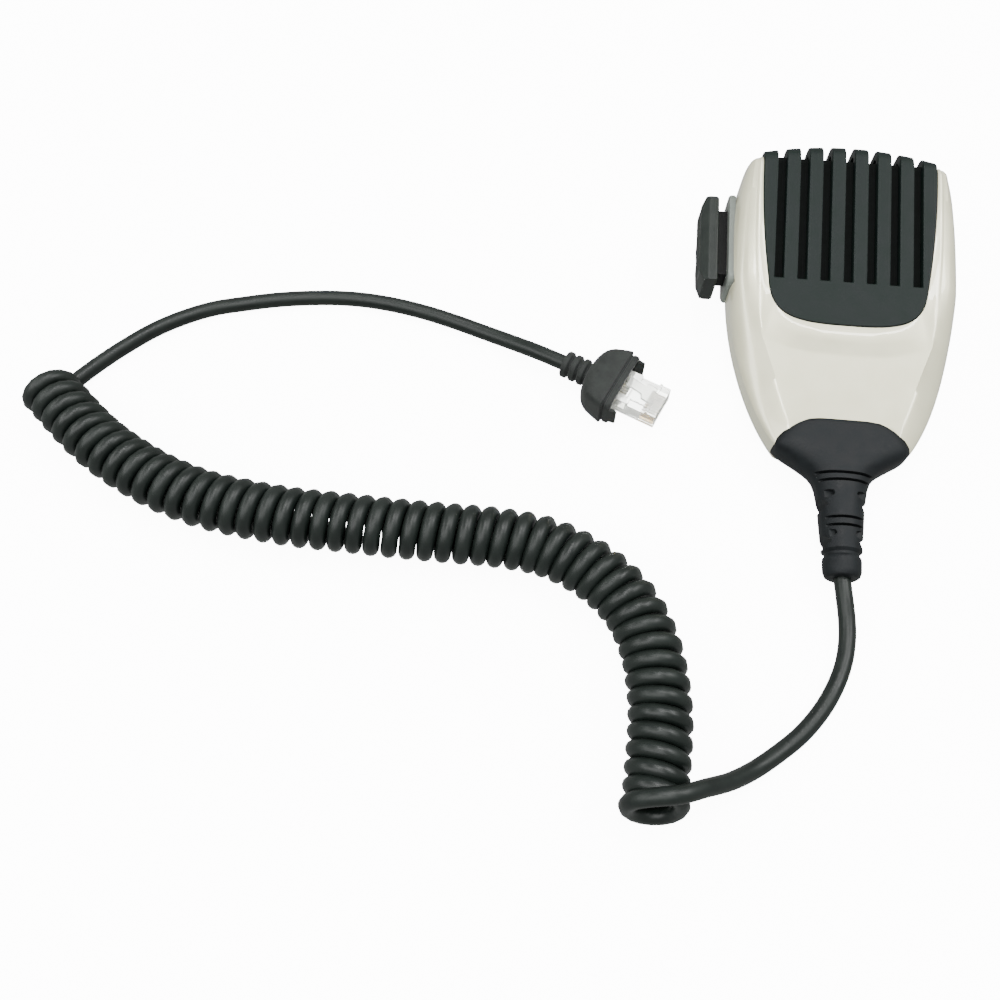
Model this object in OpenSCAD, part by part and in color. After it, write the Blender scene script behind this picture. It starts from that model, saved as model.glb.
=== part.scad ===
// Hand microphone with a hanger stud, a push-to-talk key and a curly cord.
// It lies on its back on a flat surface, resting on the stud and on its heel.

/* [Case] */
// Width of the case at its widest
case_w = 69.2; // [66:0.2:72]
// Length of the case, cord end to grille end
case_l = 101.2; // [100:0.2:103]
// Height of the joint between the two shells above the back
part_z = 12; // [11:0.5:13]
// Wall thickness of both shells
wall = 2.2; // [1.8:0.1:2.6]
// Height of the front face at the cord end
face_z = 14.5; // [14:0.1:15]
// Slope of the front face against the back
face_slope = 8.6; // [8:0.1:9]
// How far the front face is drawn in from the widest outline
face_inset = 5; // [4:0.2:6]
// How far the front face is moved towards the grille end
face_shift = 4.4; // [4:0.2:4.8]

/* [Grille] */
// Distance between two slots
slot_pitch = 7; // [6.6:0.1:7.2]
// Width of a slot
slot_w = 2.7; // [2.2:0.1:3.2]
// Depth of a slot
slot_depth = 2.2; // [1.6:0.1:2.6]
// Where the slots start, from the cord end
slot_y = 55; // [53:0.5:58]

/* [Push-to-talk key] */
// Length of the key's cap
key_l = 31.4; // [28:0.2:34]
// Height of the key's cap
key_h = 12; // [10:0.5:13]
// Thickness of the key's cap
key_t = 5.8; // [5:0.1:6.4]
// Gap between the cap and its bezel, more than the travel
key_gap = 3; // [2.6:0.1:3.4]
// Middle of the key, from the cord end
key_y = 71.8; // [68:0.1:74]

/* [Hanger stud] */
// Radius of the stud's head
stud_r = 6.5; // [6:0.1:7]
// Radius of the stud's neck
neck_r = 4; // [3.5:0.1:4.5]
// How far the stud stands out of the back
stud_h = 6; // [5:0.1:6.5]
// Middle of the stud, from the cord end
stud_y = 70; // [66:0.5:74]

/* [Cord boot] */
// Length of the boot below the case
boot_l = 35.5; // [34:0.5:36]
// Radius of the boot's tail at its end
boot_r = 5.2; // [4.8:0.1:5.4]
// Height of the cord's axis above the back
cord_z = 9.5; // [9:0.1:10]

/* [Cord and plug] */
// Diameter of the cord
cord_d = 4.7; // [4.4:0.1:4.8]
// Outer diameter of the curly stretch
coil_d = 17.8; // [17.2:0.1:18]
// Width of the modular plug
plug_w = 11.7; // [11.6:0.05:11.8]
// Length of the modular plug
plug_l = 21.5; // [21:0.1:22]
// Width of the plug's hood
hood_w = 22.4; // [21:0.2:23]
// Height of the plug's hood
hood_h = 13; // [12:0.2:13.1]

/* [Hidden] */
$fn = 32;
eps = 0.1;
hw = case_w / 2;
black = [0.15, 0.17, 0.16];
silver = [0.82, 0.82, 0.77];
steel = [0.7, 0.7, 0.7];
gold = [0.85, 0.65, 0.25];

// The heel of the back and the rim of the stud both touch the surface.
heel_y = 4.5;
rest_tilt = atan(stud_h / (stud_y - stud_r - heel_y));
lift = -heel_y * sin(rest_tilt);
// Moves the case from its own frame so that the origin is under the middle of the object.
case_x = 4.9;
case_y = -31.58;

// ---- curves ----
function bez(a, b, c, d, n) = [for (i = [0 : n - 1]) let (t = i / n, s = 1 - t)
    s*s*s*a + 3*s*s*t*b + 3*s*t*t*c + t*t*t*d];
function both_sides(half) = concat(half,
    [for (i = [len(half) - 1 : -1 : 0]) if (half[i].x > 0.01) [-half[i].x, half[i].y]]);

// Right half of the case's outline at the joint, from the cord end round to the top.
end_w = 33;
wide_y = 60;
top_w = 63;
corner_w = 52;
case_half = concat(
    [[0, 0]],
    bez([end_w/2, 0], [end_w/2 + 10.5, 8], [hw, 34], [hw, wide_y], 9),
    bez([hw, wide_y], [hw, wide_y + 16], [hw - 0.4, case_l - 15], [top_w/2, case_l - 8], 7),
    bez([top_w/2, case_l - 8], [top_w/2 - 0.9, case_l - 5.4], [corner_w/2 + 1.6, case_l - 4.6],
        [corner_w/2, case_l - 4], 4),
    bez([corner_w/2, case_l - 4], [17, case_l - 1.4], [8, case_l], [0, case_l], 6),
    [[0, case_l]]);
case_outline = both_sides(case_half);

// Right half of the grille's outline. It runs out over the top end of the case.
grille_w = 53.8;
grille_y = 41;
grille_half = concat(
    bez([0, grille_y], [15, grille_y], [22.5, grille_y + 2], [24, grille_y + 13], 8),
    bez([24, grille_y + 13], [25.2, 62], [grille_w/2 - 0.1, 75], [grille_w/2, 96], 5),
    [[grille_w/2, 96], [grille_w/2, case_l + 12]]);
grille_outline = both_sides(grille_half);

// Right half of the boot's flange, seen from the front.
flange_half = concat(
    [[0, 12.6], [10.5, 12.6]],
    bez([10.5, 12.6], [15.5, 12.6], [20.6, 7], [20.2, 2.8], 6),
    bez([20.2, 2.8], [19.8, 0.2], [16, 0], [12.5, -2.4], 4),
    [[12.5, -2.4], [0, -2.4]]);
flange_outline = both_sides(flange_half);

// ---- frames ----
module lying() {
    translate([case_x, case_y, lift]) rotate([rest_tilt, 0, 0]) children();
}
module on_face(y, depth) {
    translate([0, 0, face_z]) rotate([face_slope, 0, 0]) translate([0, y, -depth]) children();
}

// ---- case forms: the outer form at inset 0, and the cavity at the wall's thickness ----
module slab(z, inset, h) {
    translate([0, 0, z]) linear_extrude(h) offset(delta = -inset) polygon(case_outline);
}
module face_slab(inset, depth) {
    on_face(face_shift, depth + 0.02) linear_extrude(0.02)
        offset(delta = -inset) polygon(case_outline);
}
module front_form(t, below = 0) {
    hull() {
        slab(part_z - below, t, 2 + below);
        face_slab(face_inset - 1.8 + t, 2 + t);
        face_slab(face_inset + t, t);
    }
}
module rear_form(t, above = 0) {
    hull() {
        slab(8, t, part_z - 8 + above);
        slab(2.4 + t / 2, 1.2 + t, 1);
        slab(t, heel_y + t, 0.02);
    }
}
module grille_prism(gap) {
    translate([0, 0, part_z + 3]) linear_extrude(30) offset(delta = gap) polygon(grille_outline);
}
module boot_flange(gap) {
    hull() {
        translate([0, 0, 4 - gap]) linear_extrude(9.8 + 2*gap)
            offset(delta = gap) polygon(flange_outline);
        translate([0, 0, 2.5 - gap]) linear_extrude(13.9 + 2*gap)
            offset(delta = gap - 2) polygon(flange_outline);
    }
}
module boot_notch() {
    boot_flange(0.05);
    translate([-16, -5, 2.45]) cube([32, 6, 20]);
}

// ---- the key's bezel and neck ----
bezel_l = 34;
bezel_h = 15;
bezel_out = hw + 1;
bezel_in = hw - 1;
key_z = part_z;
neck_l = 24;
neck_h = 7;
module key_pocket(gap) {
    translate([-bezel_out - 5, key_y - bezel_l/2 - gap, key_z - bezel_h/2 - gap])
        cube([bezel_out + 5 - bezel_in, bezel_l + 2*gap, bezel_h + 2*gap]);
}
module key_slot(gap_y, gap_z) {
    translate([-bezel_out - 5, key_y - neck_l/2 - gap_y, key_z - neck_h/2 - gap_z])
        cube([16, neck_l + 2*gap_y, neck_h + 2*gap_z]);
}

// ---- screws and posts ----
case_screw_at = [[25.5, 89], [-25.5, 89], [22, 24], [-22, 24]];
board_screw_at = [[17, 76], [-17, 42], [17, 33]];
clamp_screw_at = [[7, 18.5], [-7, 18.5]];
boss_top = 16;
boss_r = 3;
screw_r = 1.3;
head_r = 2.6;
board_z = 8;
board_t = 1.6;
board_y = 28;
board_w = 42;
board_l = 53;

module screw(length, head_h) {
    cylinder(r = screw_r, h = length);
    difference() {
        translate([0, 0, -head_h]) cylinder(r = head_r, h = head_h);
        translate([-0.35, -1.8, -head_h - eps]) cube([0.7, 3.6, 0.8 + eps]);
        translate([-1.8, -0.35, -head_h - eps]) cube([3.6, 0.7, 0.8 + eps]);
    }
}

module rear_shell() {
    color(silver) lying() difference() {
        union() {
            difference() {
                rear_form(0);
                rear_form(wall, 1);
            }
            for (p = case_screw_at) translate([p.x, p.y, 1]) cylinder(r = boss_r, h = part_z - 1);
            for (p = board_screw_at) translate([p.x, p.y, 1]) cylinder(r = 2.5, h = board_z - 1);
            for (p = clamp_screw_at) translate([p.x, p.y, 1]) cylinder(r = 2.2, h = cord_z);
            translate([-3.5, 15.5, 1]) cube([7, 6, cord_z - cord_d/2 - 1.05]);
        }
        for (p = case_screw_at) {
            translate([p.x, p.y, -1]) cylinder(r = head_r + 0.2, h = 4);
            translate([p.x, p.y, -1]) cylinder(r = screw_r + 0.1, h = part_z + 2);
        }
        for (p = board_screw_at) translate([p.x, p.y, 3]) cylinder(r = screw_r, h = 8);
        for (p = clamp_screw_at) translate([p.x, p.y, 4]) cylinder(r = screw_r, h = 8);
        translate([0, stud_y, -1]) cylinder(r = 2.6, h = 5);
        translate([0, 0, part_z - 0.8]) linear_extrude(2) seal_band(0);
        boot_notch();
        key_pocket(0.1);
        key_slot(2.4, 0.5);
    }
}

module front_shell() {
    color(silver) lying() difference() {
        union() {
            difference() {
                front_form(0);
                front_form(wall, 1);
            }
            intersection() {
                front_form(1);
                for (p = case_screw_at) translate([p.x, p.y, part_z]) {
                    cylinder(r = boss_r, h = boss_top - part_z);
                    mirror([p.x < 0 ? 1 : 0, 0, 0]) translate([0, -1, 0])
                        cube([12, 2, boss_top - part_z]);
                }
            }
        }
        for (p = case_screw_at) translate([p.x, p.y, part_z - 1]) cylinder(r = screw_r, h = 7);
        grille_prism(0);
        boot_notch();
        key_pocket(0.1);
        key_slot(2.4, 0.5);
    }
}

module seal_band(gap) {
    difference() {
        offset(delta = -0.7 - gap) polygon(case_outline);
        offset(delta = -1.5 + gap) polygon(case_outline);
    }
}
module case_seal() {
    color([0.1, 0.1, 0.1]) lying() difference() {
        translate([0, 0, part_z - 0.78]) linear_extrude(0.76) seal_band(0.05);
        boot_flange(0.1);
        translate([-20, -5, 0]) cube([40, 7, 20]);
        key_pocket(0.3);
        key_slot(3, 2);
    }
}

// ---- grille and what is behind it ----
function face_at(y, depth) = face_z + y * tan(face_slope) - depth / cos(face_slope);
module slots() {
    floor_depth = slot_depth - 0.6;
    turn_y = case_l - 3.2;
    end_y = case_l - 1.8;
    end_z = part_z + 5.5;
    for (i = [-3 : 3]) translate([i * slot_pitch - slot_w/2, 0, 0])
        rotate([90, 0, 90]) linear_extrude(slot_w) polygon([
            [slot_y, 60], [slot_y, face_at(slot_y, floor_depth)],
            [turn_y, face_at(turn_y, floor_depth)], [end_y, end_z],
            [case_l + 20, end_z], [case_l + 20, 60]]);
}
module sound_holes() {
    for (i = [-3 : 3]) for (j = [0 : 3])
        on_face(slot_y + 5 + j * 8, 8) translate([i * slot_pitch, 0, 0]) cylinder(r = 0.8, h = 9);
}
module grille() {
    color(black) lying() difference() {
        intersection() {
            grille_prism(-0.15);
            front_form(-0.6);
        }
        front_form(3.6, 2);
        slots();
        sound_holes();
    }
}
module grille_cloth() {
    color([0.08, 0.08, 0.08]) lying() on_face(0, 4.1) linear_extrude(0.4)
        translate([-23, slot_y - 4]) square([46, 34]);
}

capsule_y = 76;
capsule_depth = 4.15;
capsule_r = 4.85;
capsule_h = 5;
module capsule_holder() {
    color([0.12, 0.12, 0.12]) lying() on_face(capsule_y, capsule_depth + 7) difference() {
        cylinder(r = 7, h = 7);
        translate([0, 0, 1.8]) cylinder(r = capsule_r + 0.02, h = 7);
        translate([0, 0, -1]) cylinder(r = 3, h = 7);
    }
}
module mic_capsule() {
    color(steel) lying() on_face(capsule_y, capsule_depth + 5.2) difference() {
        cylinder(r = capsule_r, h = capsule_h);
        translate([0, 0, capsule_h - 0.4]) cylinder(r = 1, h = 1);
    }
}
module capsule_leads() {
    color([0.7, 0.1, 0.1]) lying() for (x = [-1.3, 1.3])
        translate([x, capsule_y - 1.5, board_z + board_t]) cylinder(r = 0.45, h = 6.2);
}

// ---- electronics ----
module circuit_board() {
    color([0.1, 0.35, 0.15]) lying() difference() {
        translate([-board_w/2, board_y, board_z]) cube([board_w, board_l, board_t]);
        for (p = board_screw_at)
            translate([p.x, p.y, board_z - 1]) cylinder(r = screw_r + 0.15, h = 4);
    }
}
module amplifier_parts() {
    top = board_z + board_t;
    color([0.2, 0.2, 0.2]) lying() {
        translate([-4, 50, top]) cube([9, 6, 1.6]);
        for (i = [0 : 4]) translate([-12 + i * 5, 44, top]) cube([2, 1.3, 0.7]);
        for (i = [0 : 3]) translate([2 + i * 4, 61, top]) cube([1.3, 2, 0.7]);
        for (x = [-9, 11]) translate([x, 38, top]) cylinder(r = 2.5, h = 5.5);
    }
}
module board_screws() {
    color(steel) lying() for (p = board_screw_at)
        translate([p.x, p.y, board_z + board_t]) mirror([0, 0, 1]) screw(5, 1.4);
}
module wire_header() {
    color([0.93, 0.91, 0.84]) lying() difference() {
        translate([-6, board_y + 2, board_z + board_t]) cube([12, 5.5, 4]);
        translate([-5, board_y + 1, board_z + board_t + 0.8]) cube([10, 5, 2]);
    }
}
module lead_wires() {
    colours = ["firebrick", "white", "gold", "dimgray"];
    lying() for (i = [0 : 3])
        color(colours[i]) translate([-1.5 + i, 21.05, cord_z + 1])
            rotate([-90, 0, 0]) cylinder(r = 0.42, h = board_y - 19.05);
}

// ---- push-to-talk key: it slides along X and pushes the switch's plunger ----
switch_x = -20;
plunger_tip = -25.2;
module switch_body() {
    color([0.1, 0.1, 0.1]) lying() difference() {
        translate([switch_x - 3, key_y - 5, board_z + board_t]) cube([6, 10, 6]);
        translate([switch_x - 3 - eps, key_y, part_z]) rotate([0, 90, 0])
            cylinder(r = 1.25, h = 3.6 + eps);
    }
}
module switch_plunger() {
    color("firebrick") lying() translate([plunger_tip, key_y, part_z]) rotate([0, 90, 0])
        cylinder(r = 1.2, h = switch_x - 1.6 - plunger_tip);
}
module key_bezel() {
    color([0.35, 0.37, 0.36]) lying() difference() {
        translate([-bezel_out, key_y - bezel_l/2, key_z - bezel_h/2])
            cube([bezel_out - bezel_in - 0.02, bezel_l, bezel_h]);
        key_slot(0.35, 0.35);
        for (s = [-1, 1]) translate([-bezel_out, key_y + s * bezel_l/2, key_z]) rotate([0, 0, 45])
            cube([1.2, 1.2, 40], center = true);
    }
}
module talk_key() {
    cap_in = -bezel_out - key_gap;
    cap_out = cap_in - key_t;
    cut = 3.2;
    color(black) lying() {
        translate([0, 0, key_z - key_h/2]) linear_extrude(key_h) polygon([
            [cap_in, key_y - key_l/2 + 0.4], [cap_in, key_y + key_l/2 - 0.4],
            [cap_in - 1, key_y + key_l/2], [cap_out + 1.6, key_y + key_l/2],
            [cap_out, key_y + key_l/2 - cut], [cap_out, key_y - key_l/2 + cut],
            [cap_out + 1.6, key_y - key_l/2], [cap_in - 1, key_y - key_l/2]]);
        translate([cap_in - eps, key_y - neck_l/2, key_z - neck_h/2])
            cube([-bezel_in + 2.4 - cap_in + eps, neck_l, neck_h]);
        translate([-bezel_in + 0.2, key_y - neck_l/2 - 1.6, key_z - neck_h/2])
            cube([1.4, neck_l + 3.2, neck_h]);
        translate([-bezel_in + 2.3, key_y - 2.5, key_z - 2.5])
            cube([plunger_tip - 0.1 + bezel_in - 2.3, 5, 5]);
    }
}

// ---- back of the case ----
module hanger_stud() {
    color(steel) lying() translate([0, stud_y, 0]) rotate_extrude($fn = 64) polygon([
        [0, -stud_h], [stud_r, -stud_h], [stud_r, -stud_h + 2], [neck_r, -stud_h + 2],
        [neck_r, 0], [2.5, 0], [2.5, 6.6], [0, 6.6]]);
}
module stud_washer() {
    color(steel) lying() translate([0, stud_y, wall]) difference() {
        cylinder(r = 5.5, h = 0.8);
        translate([0, 0, -1]) cylinder(r = 2.6, h = 3);
    }
}
module stud_nut() {
    color(steel) lying() translate([0, stud_y, wall + 0.8]) difference() {
        cylinder(r = 4.6, h = 3.2, $fn = 6);
        translate([0, 0, -1]) cylinder(r = 2.52, h = 6);
    }
}
module case_screws() {
    color(steel) lying() for (p = case_screw_at) translate([p.x, p.y, 3]) screw(12, 1.8);
}

// ---- cord entry ----
module cord_clamp() {
    color(steel) lying() difference() {
        translate([-9.5, 15.5, cord_z + 1]) cube([19, 6, 3.4]);
        translate([0, 10, cord_z]) rotate([-90, 0, 0]) cylinder(r = cord_d/2 + 0.02, h = 20);
        for (p = clamp_screw_at) translate([p.x, p.y, 5]) cylinder(r = screw_r + 0.1, h = 20);
    }
}
module clamp_screws() {
    color(steel) lying() for (p = clamp_screw_at)
        translate([p.x, p.y, cord_z + 4.4]) mirror([0, 0, 1]) screw(8, 1.4);
}
module boot_tail() {
    groove = 0.9;
    function at(y) = boot_l + y;
    translate([0, -boot_l, cord_z]) rotate([-90, 0, 0]) rotate_extrude($fn = 64) polygon(concat(
        [[0, 0], [boot_r - 1, 0], [boot_r - 0.2, 0.8], [boot_r, 2], [boot_r, 5.4],
         [boot_r - 0.5, 6.2], [boot_r - 0.5, 8], [boot_r + 0.3, 8.6], [boot_r + 0.5, 13]],
        [for (y = [14, 20]) each [[boot_r + 0.6 - groove, y], [boot_r + 0.6 - groove, y + 1.4],
         [boot_r + 0.9, y + 2]]],
        [for (t = [0 : 6]) [boot_r + 1.4 + 5 * pow(t / 6, 2.4), at(-11.5 + 1.8 * t)]],
        [[0, at(-0.7)]]));
}
module cord_boot() {
    color(black) lying() difference() {
        union() {
            boot_flange(0);
            intersection() {
                boot_tail();
                translate([-30, -60, cord_z - 7]) cube([60, 70, 14.2]);
            }
        }
        translate([0, -60, cord_z]) rotate([-90, 0, 0]) cylinder(r = cord_d/2 + 0.05, h = 90);
        translate([-12, 5, 4.5]) cube([24, 20, 9.3]);
    }
}
module cord_stub() {
    color(black) lying() translate([0, -boot_l, cord_z]) rotate([-90, 0, 0])
        cylinder(r = cord_d/2, h = boot_l + 21);
}

// ---- cord: a tube swept along its route, and the curly stretch as one fat tube ----
cord_r = cord_d / 2;
coil_r = coil_d / 2;
coil_top = coil_d - cord_r;
exit_y = case_y - boot_l * cos(rest_tilt) - cord_z * sin(rest_tilt);
exit_z = lift - boot_l * sin(rest_tilt) + cord_z * cos(rest_tilt);
plug_at = [-79, -2, 6.6];
plug_turn = -24;
tail_route = [
    [case_x, exit_y, exit_z], [5.4, -73, 4.9], [6.2, -79, 3.4], [6.2, -85, 2.5], [4.9, -92, cord_r],
    [2.2, -99, cord_r], [-1.8, -106, cord_r], [-7.4, -113, cord_r], [-14, -119, 2.5],
    [-21, -124.5, 4.6], [-28, -129, 8.4], [-35, -132.5, 12.8], [-42, -135.5, coil_top]];
coil_route = [
    [-47.2, -141], [-46.6, -127], [-46.2, -115], [-47.2, -104.5], [-49.8, -93.8], [-55.4, -83],
    [-65.2, -74], [-79, -67.5], [-94, -65.6], [-109, -65.5], [-124, -65.4], [-139, -65],
    [-154, -64.6], [-169, -63.2], [-184, -60.6], [-200, -54.8], [-218, -44.5], [-239, -26.8]];
lead_route = [
    [-237.5, -25.5, cord_r], [-232.5, -19.5, cord_r], [-226.5, -12, cord_r],
    [-220, -5, cord_r], [-213, 1.5, cord_r], [-205, 7, cord_r], [-196, 11.5, cord_r],
    [-186, 14.5, cord_r], [-176, 17, cord_r], [-166, 18.7, cord_r], [-156, 19.7, cord_r],
    [-146, 19.7, cord_r], [-136, 18.6, cord_r], [-126, 16.6, cord_r], [-116, 13.8, cord_r],
    [-106, 10.4, 2.6], [-97, 6.8, 3.5], [-88, 2.4, 5.4], plug_at];

function unit(v) = v / norm(v);
function heading(p, i) = unit(p[min(i + 1, len(p) - 1)] - p[max(i - 1, 0)]);
function ring(p, t, r, n) = let (side = unit([-t.y, t.x, 0]), up = cross(t, side))
    [for (k = [0 : n - 1]) p + r * (cos(360 * k / n) * side + sin(360 * k / n) * up)];
module tube(route, r, n) {
    rings = len(route);
    points = [for (i = [0 : rings - 1]) each ring(route[i], heading(route, i), r, n)];
    sides = [for (i = [0 : rings - 2]) for (k = [0 : n - 1]) let (a = i * n + k,
        b = i * n + (k + 1) % n) each [[a, a + n, b], [b, a + n, b + n]]];
    end = (rings - 1) * n;
    first = [for (k = [1 : n - 2]) [0, k, k + 1]];
    last = [for (k = [1 : n - 2]) [end, end + k + 1, end + k]];
    polyhedron(points, concat(sides, first, last), convexity = 10);
}
module cord_tail() {
    color(black) tube(tail_route, cord_r, 10);
}
module cord_coil() {
    color(black) tube([for (p = coil_route) [p.x, p.y, coil_r]], coil_r, 12);
}
module cord_lead() {
    color(black) tube(lead_route, cord_r, 10);
}

// ---- plug: X runs from the sleeve to the nose, Z is up on the latch's side ----
sleeve_l = 8.8;
hood_end = 20.8;
plug_x = 12.5;
plug_half = 3.3;
nose_x = plug_x + plug_l;
module at_plug() {
    translate(plug_at) rotate([0, 0, plug_turn]) children();
}
module hood_slab(x, w, h, r, t) {
    translate([x, 0, 0]) rotate([90, 0, 90]) linear_extrude(t) hull()
        for (y = [-1, 1]) for (z = [-1, 1])
            translate([y * (w/2 - r), z * (h/2 - r)]) circle(r, $fn = 24);
}
module plug_hood() {
    color(black) at_plug() difference() {
        union() {
            hull() {
                hood_slab(sleeve_l, 11, 9.5, 3.5, 0.1);
                hood_slab(sleeve_l + 3.4, 19, hood_h - 0.8, 4, 0.1);
                hood_slab(hood_end - 3, hood_w, hood_h, 3, 2);
            }
            hood_slab(hood_end - 2, hood_w - 1.6, hood_h - 1.6, 2.6, 2);
            rotate([0, 90, 0]) cylinder(r = 3.4, h = sleeve_l + 1);
            for (i = [0 : 2]) translate([0.4 + i * 2.9, 0, 0]) rotate([0, 90, 0])
                cylinder(r = 4.3, h = 1.8);
        }
        translate([sleeve_l + 3.8, -hood_w/2 + 2.2, -hood_h/2 + 1.8])
            cube([20, hood_w - 4.4, hood_h - 3.6]);
    }
}
module plug_body() {
    color([0.85, 0.88, 0.88, 0.5]) at_plug() difference() {
        translate([plug_x + 0.12, -plug_w/2, -plug_half]) cube([plug_l - 0.12, plug_w, 2*plug_half]);
        translate([plug_x - 1, -4, -1.6]) cube([11, 8, 3.2]);
        for (i = [0 : 7]) translate([nose_x - 5.2, -3.57 + i * 1.02 - 0.25, -plug_half - 1])
            cube([5.8, 0.5, 3.2]);
        translate([nose_x - 3, -plug_w, plug_half - 0.6]) cube([4, 2 * plug_w, 2]);
    }
}
module plug_contacts() {
    color(gold) at_plug() for (i = [0 : 7])
        translate([nose_x - 5, -3.57 + i * 1.02 - 0.2, -plug_half + 0.2]) cube([4.4, 0.4, 1.9]);
}
module plug_wires() {
    color("dimgray") at_plug() for (i = [0 : 7])
        translate([plug_x + 0.2, -3.5 + i, 0]) rotate([0, 90, 0]) cylinder(r = 0.45, h = 9.5);
}
latch_x = nose_x - 3.4;
latch_rise = 15;
latch_l = 9.2;
module plug_latch() {
    color([0.85, 0.88, 0.88, 0.5]) at_plug() translate([latch_x, 0, plug_half + 0.1])
        rotate([0, latch_rise, 0]) {
            translate([-3.6, -3, 0]) cube([3.6, 6, 0.9]);
            translate([-latch_l, -1.6, 0]) cube([latch_l - 3.2, 3.2, 0.9]);
        }
}

rear_shell();
front_shell();
case_seal();
grille();
grille_cloth();
capsule_holder();
mic_capsule();
capsule_leads();
circuit_board();
amplifier_parts();
board_screws();
wire_header();
lead_wires();
switch_body();
switch_plunger();
key_bezel();
talk_key();
hanger_stud();
stud_washer();
stud_nut();
case_screws();
cord_clamp();
clamp_screws();
cord_boot();
cord_stub();
cord_tail();
cord_coil();
cord_lead();
plug_hood();
plug_body();
plug_contacts();
plug_wires();
plug_latch();
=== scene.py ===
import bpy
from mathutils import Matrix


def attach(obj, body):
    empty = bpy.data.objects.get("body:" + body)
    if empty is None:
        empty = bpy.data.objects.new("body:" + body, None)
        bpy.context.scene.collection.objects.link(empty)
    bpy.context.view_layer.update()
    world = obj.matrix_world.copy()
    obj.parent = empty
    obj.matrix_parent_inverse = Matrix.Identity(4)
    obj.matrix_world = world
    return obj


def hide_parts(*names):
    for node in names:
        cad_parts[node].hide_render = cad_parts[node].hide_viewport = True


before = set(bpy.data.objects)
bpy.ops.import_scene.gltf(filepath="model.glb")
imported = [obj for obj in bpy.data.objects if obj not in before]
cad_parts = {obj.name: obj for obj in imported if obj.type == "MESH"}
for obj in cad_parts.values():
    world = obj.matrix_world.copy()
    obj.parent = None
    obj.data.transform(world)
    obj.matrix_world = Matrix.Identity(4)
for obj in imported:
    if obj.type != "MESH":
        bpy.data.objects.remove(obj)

"""Hand microphone with a talk key, a hanger stud, a curly cord and a modular plug.

Shell pieces are drawn in the case's own frame, in millimetres: X across, Y from the cord
end to the grille end, Z out of the back. The plug's pieces have X along the plug and Z up.
"""

import logging
import math
from collections.abc import Callable, Iterator, Sequence
from contextlib import contextmanager
from dataclasses import dataclass
from enum import Enum

import bmesh
import bpy
from mathutils import Matrix, Vector

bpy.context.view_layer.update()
LOG = logging.getLogger("hand_microphone")
MM = 0.001

# The case lies on its back, tilted up by the hanger stud.
HEEL_Y = 4.5
REST_TILT = math.atan2(6.0, 70.0 - 6.5 - HEEL_Y)
CASE_FRAME = (
    Matrix.Translation((4.9 * MM, -31.58 * MM, -HEEL_Y * math.sin(REST_TILT) * MM))
    @ Matrix.Rotation(REST_TILT, 4, "X")
    @ Matrix.Scale(MM, 4)
)
PLUG_AT = Vector((-0.079, -0.002, 0.0066))
PLUG_FRAME = (
    Matrix.Translation(PLUG_AT)
    @ Matrix.Rotation(math.radians(-24.0), 4, "Z")
    @ Matrix.Scale(MM, 4)
)
FACE_SLOPE = math.radians(8.6)
CASE_LENGTH = 101.2
PART_Z = 12.0


class Body(Enum):
    """CAD bodies that pieces ride on."""

    CASE = "microphone"
    KEY = "talk_key"
    LATCH = "plug_latch"


class Part(Enum):
    """Elements that can be picked in edit mode."""

    VERT = "VERT"
    EDGE = "EDGE"
    FACE = "FACE"


class Pattern(Enum):
    """Surface reliefs that a finish can have."""

    GRAIN = "grain"
    PEBBLE = "pebble"
    DRAWN = "drawn"
    WEAVE = "weave"
    RINGS = "rings"


# ---- curves ----
def face_z(y: float) -> float:
    """Height of the sloping front face above the back at a distance from the cord end."""
    return 14.5 + y * math.tan(FACE_SLOPE)


def bezier(
    a: Sequence[float],
    b: Sequence[float],
    c: Sequence[float],
    d: Sequence[float],
    start: float = 0.0,
    end: float = 1.0,
    count: int = 14,
) -> list[Vector]:
    """Samples a cubic curve.

    Args:
        a, b, c, d: The four control points, in 2 or 3 dimensions.
        start, end: The stretch of the curve, as parameters from 0 to 1.
        count: Number of steps.

    Returns:
        count + 1 points.
    """
    points = []
    for i in range(count + 1):
        t = start + (end - start) * i / count
        s = 1.0 - t
        weights = (s**3, 3 * s * s * t, 3 * s * t * t, t**3)
        points.append(sum((w * Vector(p) for w, p in zip(weights, (a, b, c, d))), Vector([0.0] * len(a))))
    return points


def spread(points: Sequence[Vector], count: int) -> list[Vector]:
    """Spaces points evenly along a chain, without its last point.

    Args:
        points: The chain.
        count: Number of steps.

    Returns:
        count points, the first one at the chain's start.
    """
    runs = [0.0]
    for p, q in zip(points, points[1:]):
        runs.append(runs[-1] + (q - p).length)
    found, k = [], 0
    for i in range(count):
        want = runs[-1] * i / count
        while k < len(runs) - 2 and runs[k + 1] < want:
            k += 1
        gap = runs[k + 1] - runs[k]
        found.append(points[k].lerp(points[k + 1], (want - runs[k]) / gap if gap else 0.0))
    return found


def through(points: Sequence[Vector], step: float) -> list[Vector]:
    """Runs a smooth curve through points.

    Args:
        points: The points, in order.
        step: Largest distance between two samples.

    Returns:
        The samples, both ends included.
    """
    chain = [points[0] * 2 - points[1], *points, points[-1] * 2 - points[-2]]
    found = []
    for p0, p1, p2, p3 in zip(chain, chain[1:], chain[2:], chain[3:]):
        steps = max(1, math.ceil((p2 - p1).length / step))
        for i in range(steps):
            t = i / steps
            found.append(
                0.5 * (2 * p1 + (p2 - p0) * t + (2 * p0 - 5 * p1 + 4 * p2 - p3) * t * t
                       + (3 * p1 - p0 - 3 * p2 + p3) * t**3)
            )
    return [*found, points[-1].copy()]


def mirrored(half: Sequence[Vector]) -> list[Vector]:
    """Closes a half outline, from the middle round to the middle, with its mirror image."""
    return [*half, *(Vector((-p.x, *p[1:])) for p in reversed(half[1:-1]))]


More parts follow.
